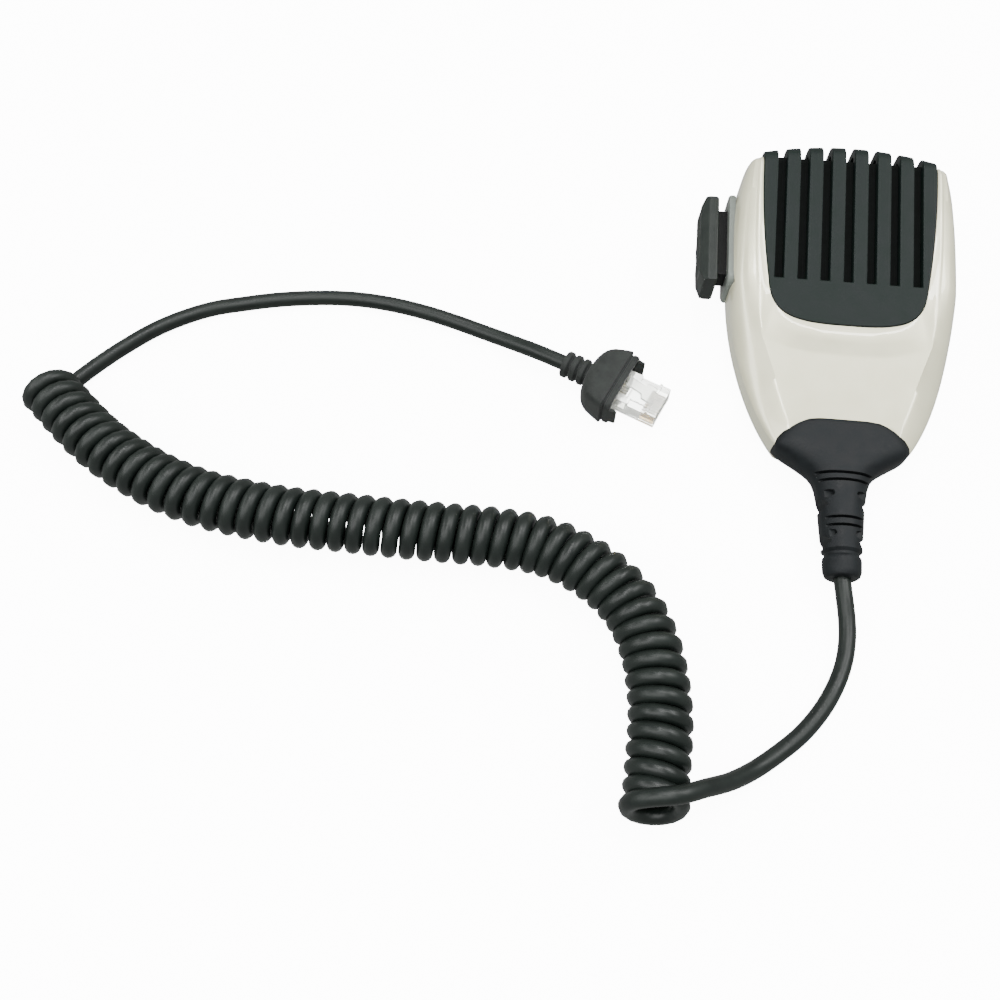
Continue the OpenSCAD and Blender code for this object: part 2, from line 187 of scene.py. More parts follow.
def inset(ring: Sequence[Vector], amount: float) -> list[Vector]:
    """Draws a closed anticlockwise outline in, seen from above.

    Args:
        ring: The outline.
        amount: Distance in millimetres, negative to grow it.

    Returns:
        The new outline, at the same heights.
    """
    found = []
    for i, p in enumerate(ring):
        run = (ring[(i + 1) % len(ring)] - ring[i - 1]).to_2d()
        run = run.normalized() if run.length > 1e-9 else Vector((0.0, 0.0))
        found.append(Vector((p.x - run.y * amount, p.y + run.x * amount, p.z)))
    return found


def rounded(width: float, height: float, power: float, count: int) -> list[tuple[float, float]]:
    """Outline between an ellipse (power 2) and a rectangle with round corners.

    Args:
        width, height: Half sizes.
        power: Squareness.
        count: Number of points.

    Returns:
        Pairs across and up.
    """
    found = []
    for i in range(count):
        a = 2 * math.pi * i / count
        c, s = math.cos(a), math.sin(a)
        found.append((
            width * math.copysign(abs(c) ** (2 / power), c),
            height * math.copysign(abs(s) ** (2 / power), s),
        ))
    return found


# ---- modelling, as by hand ----
def alone(obj: bpy.types.Object) -> None:
    """Leaves one object selected and active."""
    bpy.ops.object.select_all(action="DESELECT")
    obj.select_set(True)
    bpy.context.view_layer.objects.active = obj


@contextmanager
def editing(obj: bpy.types.Object) -> Iterator[None]:
    """Puts an object in edit mode with nothing selected, and leaves it in object mode."""
    alone(obj)
    bpy.ops.object.mode_set(mode="EDIT")
    bpy.ops.mesh.select_all(action="DESELECT")
    try:
        yield
    finally:
        bpy.ops.object.mode_set(mode="OBJECT")


def pick(obj: bpy.types.Object, part: Part, test: Callable[..., bool]) -> None:
    """Selects elements in edit mode.

    Args:
        obj: The object in edit mode.
        part: Kind of element.
        test: Says of one element whether it is taken.
    """
    bpy.ops.mesh.select_mode(type=part.value)
    bpy.ops.mesh.select_all(action="DESELECT")
    mesh = bmesh.from_edit_mesh(obj.data)
    for item in {Part.VERT: mesh.verts, Part.EDGE: mesh.edges, Part.FACE: mesh.faces}[part]:
        if test(item):
            item.select_set(True)
    mesh.select_flush_mode()
    bmesh.update_edit_mesh(obj.data)


def block(name: str, low: Sequence[float], high: Sequence[float]) -> bpy.types.Object:
    """Adds a cube between two corners, as a start for a piece.

    Args:
        name: The piece's name.
        low, high: Its corners.

    Returns:
        The object, with its place in its mesh.
    """
    bpy.ops.object.select_all(action="DESELECT")
    middle = [(a + b) / 2 for a, b in zip(low, high)]
    bpy.ops.mesh.primitive_cube_add(size=1.0, location=middle)
    obj = bpy.context.object
    obj.scale = [b - a for a, b in zip(low, high)]
    bpy.ops.object.transform_apply(location=True, rotation=True, scale=True)
    obj.name = name
    return obj


def loft(name: str, rings: Sequence[Sequence[Vector]]) -> bpy.types.Object:
    """Extrudes a circle of edges from ring to ring and closes both ends.

    Args:
        name: The piece's name.
        rings: Rings with equally many points, in order.

    Returns:
        The object, with faces outwards.
    """
    bpy.ops.object.select_all(action="DESELECT")
    count = len(rings[0])
    bpy.ops.mesh.primitive_circle_add(vertices=count, fill_type="NOTHING")
    obj = bpy.context.object
    obj.name = name
    for vert, place in zip(obj.data.vertices, rings[0]):
        vert.co = place
    with editing(obj):
        bpy.ops.mesh.select_mode(type="VERT")
        bpy.ops.mesh.select_all(action="SELECT")
        order = {i: i for i in range(count)}
        for ring in rings[1:]:
            bpy.ops.mesh.extrude_edges_move()
            mesh = bmesh.from_edit_mesh(obj.data)
            mesh.verts.index_update()
            following = {}
            for vert in (v for v in mesh.verts if v.select):
                old = next(e.other_vert(vert) for e in vert.link_edges if not e.other_vert(vert).select)
                following[vert.index] = order[old.index]
                vert.co = ring[order[old.index]]
            order = following
        mesh = bmesh.from_edit_mesh(obj.data)
        last = set(order)
        bmesh.update_edit_mesh(obj.data)
        pick(obj, Part.VERT, lambda v: v.index in last)
        bpy.ops.mesh.edge_face_add()
        pick(obj, Part.VERT, lambda v: v.index < count)
        bpy.ops.mesh.edge_face_add()
        bpy.ops.mesh.select_all(action="SELECT")
        bpy.ops.mesh.remove_doubles(threshold=0.004)
        bpy.ops.mesh.normals_make_consistent(inside=False)
    return obj


def modify(obj: bpy.types.Object, kind: str, **settings: object) -> None:
    """Adds a modifier with its settings and applies it."""
    alone(obj)
    modifier = obj.modifiers.new(kind.lower(), kind)
    for key, value in settings.items():
        setattr(modifier, key, value)
    bpy.ops.object.modifier_apply(modifier=modifier.name)


def cut(obj: bpy.types.Object, *tools: bpy.types.Object) -> None:
    """Cuts tools out of a piece and removes them."""
    for tool in tools:
        modify(obj, "BOOLEAN", operation="DIFFERENCE", solver="EXACT", object=tool)
        bpy.data.objects.remove(tool)


def soften(obj: bpy.types.Object, width: float, segments: int = 2, angle: float = 30.0) -> None:
    """Rounds the edges that are sharper than an angle."""
    modify(obj, "BEVEL", width=width, segments=segments, limit_method="ANGLE",
           angle_limit=math.radians(angle), use_clamp_overlap=True)


def join(obj: bpy.types.Object, *others: bpy.types.Object) -> bpy.types.Object:
    """Joins other pieces into one."""
    alone(obj)
    for other in others:
        other.select_set(True)
    bpy.ops.object.join()
    return obj


# ---- finishes ----
def linear(code: str) -> tuple[float, float, float, float]:
    """Turns an sRGB colour such as "d8d7cc" to linear RGBA."""
    shares = [int(code[i:i + 2], 16) / 255 for i in (0, 2, 4)]
    return (*(c / 12.92 if c <= 0.04045 else ((c + 0.055) / 1.055) ** 2.4 for c in shares), 1.0)


def add_node(tree: bpy.types.NodeTree, kind: str, inputs: dict[str, object] | None = None,
             **settings: object) -> bpy.types.Node:
    """Adds one node.

    Args:
        tree: The material's node tree.
        kind: The node's type.
        inputs: Input names with a constant or the socket to link.
        settings: The node's own properties.

    Returns:
        The node.
    """
    made = tree.nodes.new(kind)
    for key, value in settings.items():
        setattr(made, key, value)
    for key, value in (inputs or {}).items():
        if isinstance(value, bpy.types.NodeSocket):
            tree.links.new(value, made.inputs[key])
        else:
            made.inputs[key].default_value = value
    return made


@dataclass(frozen=True)
class Finish:
    """One material: a base, a mottling between two colours and a relief.

    Distances are in millimetres. The spread is how far the roughness varies either way.
    """

    name: str
    colour: str
    second: str
    mottle: float
    roughness: float
    spread: float = 0.05
    pattern: Pattern = Pattern.GRAIN
    pitch: float = 0.4
    relief: float = 0.02
    strength: float = 0.4
    metallic: float = 0.0
    ior: float = 1.5
    specular: float = 0.5
    coat: float = 0.0
    coat_roughness: float = 0.08
    transmission: float = 0.0
    sheen: float = 0.0
    glow: float = 0.0
    stretch: tuple[float, float, float] = (1.0, 1.0, 1.0)

    def relief_socket(self, tree: bpy.types.NodeTree, place: bpy.types.NodeSocket) -> bpy.types.NodeSocket:
        """Makes the height that the relief is drawn from.

        Args:
            tree: The material's node tree.
            place: Socket with the place on the piece, in metres.

        Returns:
            The height's socket.
        """
        per_metre = 1.0 / (self.pitch * MM)
        stretched = add_node(tree, "ShaderNodeMapping", {"Vector": place, "Scale": self.stretch})
        vector = stretched.outputs["Vector"]
        if self.pattern is Pattern.PEBBLE:
            cells = add_node(tree, "ShaderNodeTexVoronoi", {"Vector": vector, "Scale": per_metre},
                             feature="SMOOTH_F1")
            return cells.outputs["Distance"]
        if self.pattern is Pattern.WEAVE:
            waves = [
                add_node(tree, "ShaderNodeTexWave", {"Vector": vector, "Scale": per_metre / 20},
                         wave_type="BANDS", bands_direction=way, wave_profile="SIN")
                for way in ("X", "Y")
            ]
            both = add_node(tree, "ShaderNodeMath", operation="MULTIPLY")
            for i, wave in enumerate(waves):
                tree.links.new(wave.outputs["Fac"], both.inputs[i])
            return both.outputs["Value"]
        if self.pattern is Pattern.RINGS:
            rings = add_node(tree, "ShaderNodeTexWave", {"Vector": vector, "Scale": per_metre / 20,
                             "Distortion": 0.4}, wave_type="RINGS", rings_direction="Z")
            return rings.outputs["Fac"]
        grain = add_node(tree, "ShaderNodeTexNoise", {"Vector": vector, "Scale": per_metre,
                         "Detail": 3.0, "Roughness": 0.55})
        return grain.outputs["Fac"]

    def material(self) -> bpy.types.Material:
        """Makes the material once.

        Returns:
            The material.
        """
        found = bpy.data.materials.get(self.name)
        if found:
            return found
        made = bpy.data.materials.new(self.name)
        made.use_nodes = True
        tree = made.node_tree
        shader = tree.nodes["Principled BSDF"]
        place = add_node(tree, "ShaderNodeTexCoord").outputs["Object"]
        clouds = add_node(tree, "ShaderNodeTexNoise", {"Vector": place, "Scale": 1.0 / (self.mottle * MM),
                          "Detail": 4.0, "Roughness": 0.6}).outputs["Fac"]
        ramp = add_node(tree, "ShaderNodeValToRGB", {"Fac": clouds})
        for stop, code, at in zip(ramp.color_ramp.elements, (self.colour, self.second), (0.32, 0.7)):
            stop.color = linear(code)
            stop.position = at
        tree.links.new(ramp.outputs["Color"], shader.inputs["Base Color"])
        gloss = add_node(tree, "ShaderNodeMapRange", {
            "Value": clouds, "From Min": 0.3, "From Max": 0.7,
            "To Min": max(0.02, self.roughness - self.spread), "To Max": self.roughness + self.spread})
        tree.links.new(gloss.outputs["Result"], shader.inputs["Roughness"])
        bump = add_node(tree, "ShaderNodeBump", {"Height": self.relief_socket(tree, place),
                        "Strength": self.strength, "Distance": self.relief * MM})
        tree.links.new(bump.outputs["Normal"], shader.inputs["Normal"])
        constants = {
            "Metallic": self.metallic, "Coat Weight": self.coat, "Coat Roughness": self.coat_roughness,
            "Transmission Weight": self.transmission, "Sheen Weight": self.sheen,
            "Emission Strength": self.glow,
        }
        if self.metallic < 1.0:
            constants.update({"IOR": self.ior, "Specular IOR Level": self.specular})
        for key, value in constants.items():
            shader.inputs[key].default_value = value
        return made


# Silver lacquer under clear coat on moulded ABS: soft metallic body, sharp gloss on top.
SILVER_LACQUER = Finish("silver_lacquer_on_moulded_abs", "d2cfb2", "d7d4b8", 9.0, 0.34, 0.04,
                        Pattern.GRAIN, 0.12, 0.004, 0.25, metallic=0.3, coat=1.0, coat_roughness=0.03)
# Spark-eroded black ABS: a fine even grain that scatters highlights, faintly green in the light.
TEXTURED_ABS = Finish("spark_textured_black_abs", "0b1312", "0f1815", 5.0, 0.5, 0.06,
                      Pattern.PEBBLE, 0.28, 0.02, 0.5, specular=0.14)
# Smooth moulded black nylon: harder and shinier than the grille.
KEY_NYLON = Finish("moulded_black_nylon", "141917", "1b201d", 6.0, 0.42, 0.07,
                   Pattern.GRAIN, 0.25, 0.015, 0.35, specular=0.25)
# Moulded black acetal of the key's slide: its near-black colour is painted shade, darker than the cap's, for
# the shadow the slide sits in; dull where it rubs.
SLIDE_ACETAL_PAINTED_SHADE = Finish("moulded_black_acetal_painted_shade", "050606", "090b0a", 3.0, 0.5, 0.08,
                      Pattern.GRAIN, 0.3, 0.01, 0.3, specular=0.14)
# Moulded grey ABS: matt, with a slight flow mottling.
GREY_ABS = Finish("moulded_grey_abs", "5c625d", "666c66", 5.0, 0.45, 0.05, Pattern.GRAIN, 0.3, 0.012, 0.35)
# Moulded PVC of the strain relief: dull charcoal with scuffs that lighten it.
RELIEF_PVC = Finish("moulded_charcoal_pvc", "0f1113", "16191b", 4.0, 0.55, 0.1,
                    Pattern.GRAIN, 0.5, 0.03, 0.5, specular=0.15)
# Moulded rubber hood: duller and greyer than the cord, dusty where it is handled.
HOOD_RUBBER = Finish("moulded_hood_rubber", "1b1d1c", "272a28", 3.5, 0.6, 0.1,
                     Pattern.PEBBLE, 0.3, 0.02, 0.5, specular=0.16, sheen=0.06)
# Extruded polyurethane jacket: satin black with a fine lengthwise unevenness.
CORD_JACKET = Finish("extruded_polyurethane_jacket", "0e1311", "141a17", 7.0, 0.4, 0.08,
                     Pattern.GRAIN, 0.6, 0.03, 0.35, specular=0.28)
# Sealing cord of silicone rubber: soft and almost without gloss.
SEAL_RUBBER = Finish("silicone_seal_rubber", "151716", "1c1f1e", 3.0, 0.75, 0.05,
                     Pattern.GRAIN, 0.3, 0.02, 0.4)
# Woven polyester acoustic cloth: a fine square mesh, drawn at 0.5 mm so that it shows.
GRILLE_CLOTH = Finish("woven_acoustic_cloth", "0d0f0e", "161a18", 2.0, 0.85, 0.05,
                      Pattern.WEAVE, 0.5, 0.08, 0.8, sheen=0.3)
# Black felt behind the ribs: it swallows the light that falls in the slots.
BACKING_FELT = Finish("black_backing_felt", "050706", "0a0d0c", 2.0, 0.95, 0.03,
                      Pattern.GRAIN, 0.3, 0.04, 0.6, specular=0.12)
# Turned and polished nickel-plated brass: fine rings left by the lathe.
TURNED_NICKEL = Finish("turned_nickel_plated_brass", "c9c5bb", "d6d3ca", 4.0, 0.22, 0.06,
                       Pattern.RINGS, 0.35, 0.004, 0.3, metallic=1.0)
# Zinc-plated steel of screws, washer, nut and clamp: brighter spots on a grey ground.
ZINC_STEEL = Finish("zinc_plated_steel", "9b9c98", "b6b7b1", 0.9, 0.34, 0.08,
                    Pattern.GRAIN, 0.2, 0.006, 0.4, metallic=1.0)
# Gold-flashed phosphor bronze of the contact blades.
GOLD_FLASH = Finish("gold_flashed_bronze", "d9ab4e", "e6bd66", 1.2, 0.24, 0.05,
                    Pattern.DRAWN, 0.15, 0.004, 0.3, metallic=1.0, stretch=(0.15, 1.0, 1.0))
# Injection-moulded clear polycarbonate: water-clear, with faint flow ripples.
CLEAR_POLYCARBONATE = Finish("clear_moulded_polycarbonate", "f1f3ee", "fbfbf8", 6.0, 0.08, 0.03,
                             Pattern.GRAIN, 2.0, 0.03, 0.35, ior=1.585, transmission=0.72)
# Epoxy glass laminate under green solder mask: glossy, with the weave just showing.
SOLDER_MASK = Finish("solder_mask_on_glass_laminate", "14502e", "1a5c36", 3.0, 0.3, 0.04,
                     Pattern.WEAVE, 0.8, 0.01, 0.3, coat=0.3)
# Moulded epoxy of the components: matt black with a fine grit.
COMPONENT_EPOXY = Finish("moulded_component_epoxy", "18191a", "222324", 1.5, 0.6, 0.05,
                         Pattern.GRAIN, 0.12, 0.01, 0.4)
# Cream nylon of the wire header.
CREAM_NYLON = Finish("moulded_cream_nylon", "e6dfc8", "eee8d5", 3.0, 0.4, 0.05, Pattern.GRAIN, 0.3, 0.01, 0.3)
# Red acetal of the switch plunger: waxy and smooth.
RED_ACETAL = Finish("moulded_red_acetal", "a3231d", "b02d25", 2.0, 0.35, 0.04, Pattern.GRAIN, 0.3, 0.008, 0.3)
# Coloured PVC insulation of the thin leads.
RED_INSULATION = Finish("red_pvc_insulation", "b3261f", "c2332a", 2.0, 0.42, 0.05,
                        Pattern.GRAIN, 0.4, 0.01, 0.3)
GREY_INSULATION = Finish("grey_pvc_insulation", "8d8f8c", "c9c4b4", 1.6, 0.42, 0.05,
                         Pattern.GRAIN, 0.4, 0.01, 0.3)
# Painted studio floor: near white, so even that only soft shadows show.
FLOOR_PAINT = Finish("white_studio_paint", "f6f6f5", "f9f9f8", 400.0, 0.8, 0.02,
                     Pattern.GRAIN, 4.0, 0.02, 0.1, glow=11.0)


def settle(obj: bpy.types.Object, place: Matrix, finish: Finish, body: Body,
           nodes: Sequence[str], angle: float = 32.0) -> bpy.types.Object:
    """Puts a modelled piece in its place, dresses it and hangs it on its body.

    Args:
        obj: The piece, in its own frame.
        place: That frame on the table.
        finish: Its material.
        body: The CAD body that it rides on.
        nodes: CAD nodes that it stands for.
        angle: Edges sharper than this, in degrees, stay sharp.

    Returns:
        The piece.
    """
    obj.data.transform(place)
    alone(obj)
    bpy.ops.object.shade_smooth_by_angle(angle=math.radians(angle))
    modify(obj, "WEIGHTED_NORMAL", keep_sharp=True)
    obj.data.materials.clear()
    obj.data.materials.append(finish.material())
    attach(obj, body.value)
    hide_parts(*nodes)
    LOG.info("%s: %d faces, rides %s", obj.name, len(obj.data.polygons), body.value)
    return obj


# ---- cord ----
@dataclass
class CurlyCord:
    """Cord from the boot to the plug: a tail, a curly stretch and a lead, in one line."""

    diameter: float = 4.9
    turn_radius: float = 6.45
    pitch: float = 5.25
    coil_height: float = 8.9
    points_per_turn: int = 16
    start_gap: float = 1.75
    end_gap: float = 1.2
    loosening: float = 0.05
    joins_at: int = 2
    tail: tuple[tuple[float, float, float], ...] = (
        (4.9, -67.86, 5.41), (5.4, -73, 4.9), (6.2, -79, 3.4), (6.2, -85, 2.6), (4.9, -92, 2.46),
        (2.2, -99, 2.46), (-1.8, -106, 2.46), (-7.4, -113, 2.46), (-14, -119, 2.8), (-21, -124.5, 4.6),
        (-28, -129, 8.8), (-35, -132.3, 13.6), (-41.5, -135.2, 17.1),
        (-48.2, -136.3, 16.4),
    )
    coil: tuple[tuple[float, float], ...] = (
        (-47.2, -141), (-46.6, -127), (-46.2, -115), (-47.2, -104.5), (-49.8, -93.8), (-55.4, -83),
        (-65.2, -74), (-79, -67.5), (-94, -65.6), (-109, -65.5), (-124, -65.4), (-139, -65),
        (-154, -64.6), (-169, -63.2), (-184, -60.6), (-200, -54.8), (-218, -44.5), (-239, -26.8),
    )
    lead: tuple[tuple[float, float, float], ...] = (
        (-237.5, -25.5, 2.46), (-232.5, -19.5, 2.46), (-226.5, -12, 2.46), (-220, -5, 2.46),
        (-213, 1.5, 2.46), (-205, 7, 2.46), (-196, 11.5, 2.46), (-186, 14.5, 2.46), (-176, 17, 2.46),
        (-166, 18.7, 2.46), (-156, 19.7, 2.46), (-146, 19.7, 2.46), (-136, 18.6, 2.46),
        (-126, 16.6, 2.46), (-116, 13.8, 2.46), (-106, 10.4, 2.6), (-97, 6.8, 3.5), (-88, 2.4, 5.4),
        (-79, -2, 6.6),
    )

    def turns(self) -> list[Vector]:
        """Winds the curly stretch round its middle line.

        Returns:
            Points from the first turn's top to the last turn's bottom, in millimetres.
        """
        middle = through([Vector((x, y, self.coil_height)) for x, y in self.coil], 1.0)
        runs = [0.0]
        for p, q in zip(middle, middle[1:]):
            runs.append(runs[-1] + (q - p).length)
        start, end = self.start_gap, runs[-1] - self.end_gap
        count = round((end - start) / self.pitch) + 0.5
        steps = round(count * self.points_per_turn)
        found, k = [], 0
        for i in range(steps + 1):
            turn = i / self.points_per_turn
            share = i / steps * (1 - self.loosening + self.loosening * i / steps)
            want = start + (end - start) * share + self.lag(turn)
            while k < len(runs) - 2 and runs[k + 1] < want:
                k += 1
            axis = (middle[k + 1] - middle[k]).normalized()
            centre = middle[k] + axis * (want - runs[k])
            side = Vector((-axis.y, axis.x, 0.0))
            angle = 2 * math.pi * turn
            wide = self.turn_radius + 1.3 * math.exp(-3.0 * turn)
            high = self.turn_radius + 2.5 * math.exp(-8.0 * turn)
            found.append(centre + side * (wide * math.sin(angle))
                         + Vector((0.0, 0.0, high * math.cos(angle))))
        return found

    def lag(self, turn: float) -> float:
        """How far the first turns swing ahead of an even winding, in millimetres."""
        return 2.5 * math.exp(-turn) * math.cos(1.8 * math.pi * turn)

    def line(self) -> list[Vector]:
        """The whole cord's middle line, in metres."""
        turns = self.turns()
        skip = self.joins_at
        tail = [Vector(p) for p in self.tail]
        first = through([*tail, *turns[skip:skip + 3]], 2.0)
        cut_at = min(range(len(first)), key=lambda i: (first[i] - turns[skip]).length)
        lead = [Vector(p) for p in self.lead]
        last = through([turns[-2], turns[-1], *lead[1:]], 2.5)
        joined = [*first[:cut_at - 1], *turns[skip:-1], *last[1:]]
        return [p * MM for p in joined]

    def build(self) -> tuple[bpy.types.Object, float]:
        """Makes the cord as one curve.

        Returns:
            The curve object and its length in metres.
        """
        points = self.line()
        curve = bpy.data.curves.new("cord", "CURVE")
        curve.dimensions = "3D"
        curve.bevel_depth = self.diameter * MM / 2
        curve.bevel_resolution = 5
        curve.use_fill_caps = True
        curve.resolution_u = 1
        spline = curve.splines.new("POLY")
        spline.points.add(len(points) - 1)
        for spot, p in zip(spline.points, points):
            spot.co = (*p, 1.0)
        spline.use_smooth = True
        obj = bpy.data.objects.new("curly_cord", curve)
        bpy.context.collection.objects.link(obj)
        curve.materials.append(CORD_JACKET.material())
        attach(obj, Body.CASE.value)
        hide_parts("cord_tail", "cord_coil", "cord_lead")
        length = sum((q - p).length for p, q in zip(points, points[1:]))
        LOG.info("curly_cord: %.3f m along %d points", length, len(points))
        return obj, length


# ---- case ----
@dataclass
class CordBoot:
    """Moulded strain relief: a saddle let into the case, a neck with slots and an end collar."""

    middle: float = 9.45
    sides: int = 72
    seat_gap: float = 0.16
    seat_rings: int = 8
    throat: tuple[float, float, float] = (21.4, 14.0, 4.0)
    stations: tuple[tuple[float, float, float, float], ...] = (
        (12.0, 13.0, 6.3, 4.0), (11.85, 13.9, 6.75, 4.2), (11.4, 15.0, 6.95, 4.4), (10.5, 16.2, 7.0, 4.6),
        (9.1, 17.5, 7.0, 4.6), (7.2, 18.8, 7.0, 4.6), (5.4, 19.7, 7.0, 4.4), (4.0, 19.85, 7.0, 4.0),
        (2.8, 19.1, 7.0, 3.6), (1.5, 17.5, 7.0, 3.3), (0.2, 15.5, 7.0, 3.0), (-1.2, 13.4, 6.98, 2.8),
        (-2.6, 11.4, 6.95, 2.6), (-4.0, 9.8, 6.9, 2.4), (-5.8, 8.5, 6.8, 2.3), (-8.4, 7.6, 6.7, 2.2),
        (-12.0, 7.05, 6.55, 2.1), (-16.0, 6.6, 6.35, 2.1), (-20.0, 6.35, 6.1, 2.1), (-24.0, 6.05, 5.85, 2.1),
        (-27.4, 5.8, 5.65, 2.1), (-28.2, 5.0, 4.9, 2.0), (-29.0, 4.95, 4.85, 2.0), (-29.6, 5.5, 5.35, 2.0),
        (-30.6, 5.6, 5.45, 2.0), (-33.6, 5.5, 5.3, 2.0), (-34.9, 5.0, 4.9, 2.0), (-35.4, 4.2, 4.2, 2.0),
    )

    def rings(self, gap: float = 0.0) -> list[list[Vector]]:
        """Cross-sections from the case to the cord, grown by a gap."""
        found = []
        for i, (y, width, height, power) in enumerate(self.stations):
            spot = y + (gap if i == 0 else 0.0)
            found.append([Vector((x, spot, self.middle + z))
                          for x, z in rounded(width + gap, height + gap, power, self.sides)])
        return found

    def cutter(self) -> bpy.types.Object:
        """The boot's upper part with a gap all round, to cut its seat in the case."""
        rings = self.rings(self.seat_gap)[:self.seat_rings]
        rings += [[Vector((x, y, self.middle + z)) for x, z in rounded(*self.throat, self.sides)]
                  for y in (3.6, -6.0)]
        return loft("boot_seat", rings)

    def build(self) -> bpy.types.Object:
        """Makes the boot with its slots, notches and cord hole."""
        boot = loft("cord_boot_moulding", self.rings())
        top = self.middle + 7.2
        tools = []
        for y in (-4.9, -7.1, -18.4, -20.8):
            low = self.middle + 3.4
            tools.append(block("slot", (-9, y - 0.42, low), (9, y + 0.42, top)))
            tools.append(block("slot", (-9, y - 0.42, self.middle - 7.2), (9, y + 0.42, self.middle - 3.4)))
        for y, half in ((-14.2, 6.75), (-25.4, 5.95)):
            for side in (-1, 1):
                notch = block("notch", (-1.5, -1.5, -9), (1.5, 1.5, 9))
                notch.data.transform(Matrix.Translation((side * (half + 0.15), y, self.middle))
                                     @ Matrix.Rotation(math.radians(45), 4, "Z"))
                tools.append(notch)
        for y, half in ((-11.2, 4.4), (-23.2, 3.9)):
            for side in (-1, 1):
                tools.append(self.window(side * half, y))
        cut(boot, *tools)
        bpy.ops.object.select_all(action="DESELECT")
        bpy.ops.mesh.primitive_cylinder_add(vertices=32, radius=2.45, depth=6, location=(0, -35.4, 9.5),
                                            rotation=(math.pi / 2, 0, 0))
        hole = bpy.context.object
        bpy.ops.object.transform_apply(location=True, rotation=True, scale=True)
        cut(boot, hole)
        return settle(boot, CASE_FRAME, RELIEF_PVC, Body.CASE, ("cord_boot",), 38.0)

    def window(self, x: float, y: float) -> bpy.types.Object:
        """A D-shaped recess beside the neck's middle."""
        way = 1 if x > 0 else -1
        outline = [Vector((x + way * a, y + b, 0)) for a, b in
                   ((1.5, 1.1), (0.2, 1.1), (-0.9, 0.8), (-1.3, 0.0), (-0.9, -0.8), (0.2, -1.1), (1.5, -1.1))]
        low, high = self.middle + 4.1, self.middle + 8.0
        return loft("window", [[Vector((p.x, p.y, z)) for p in outline] for z in (low, high)])


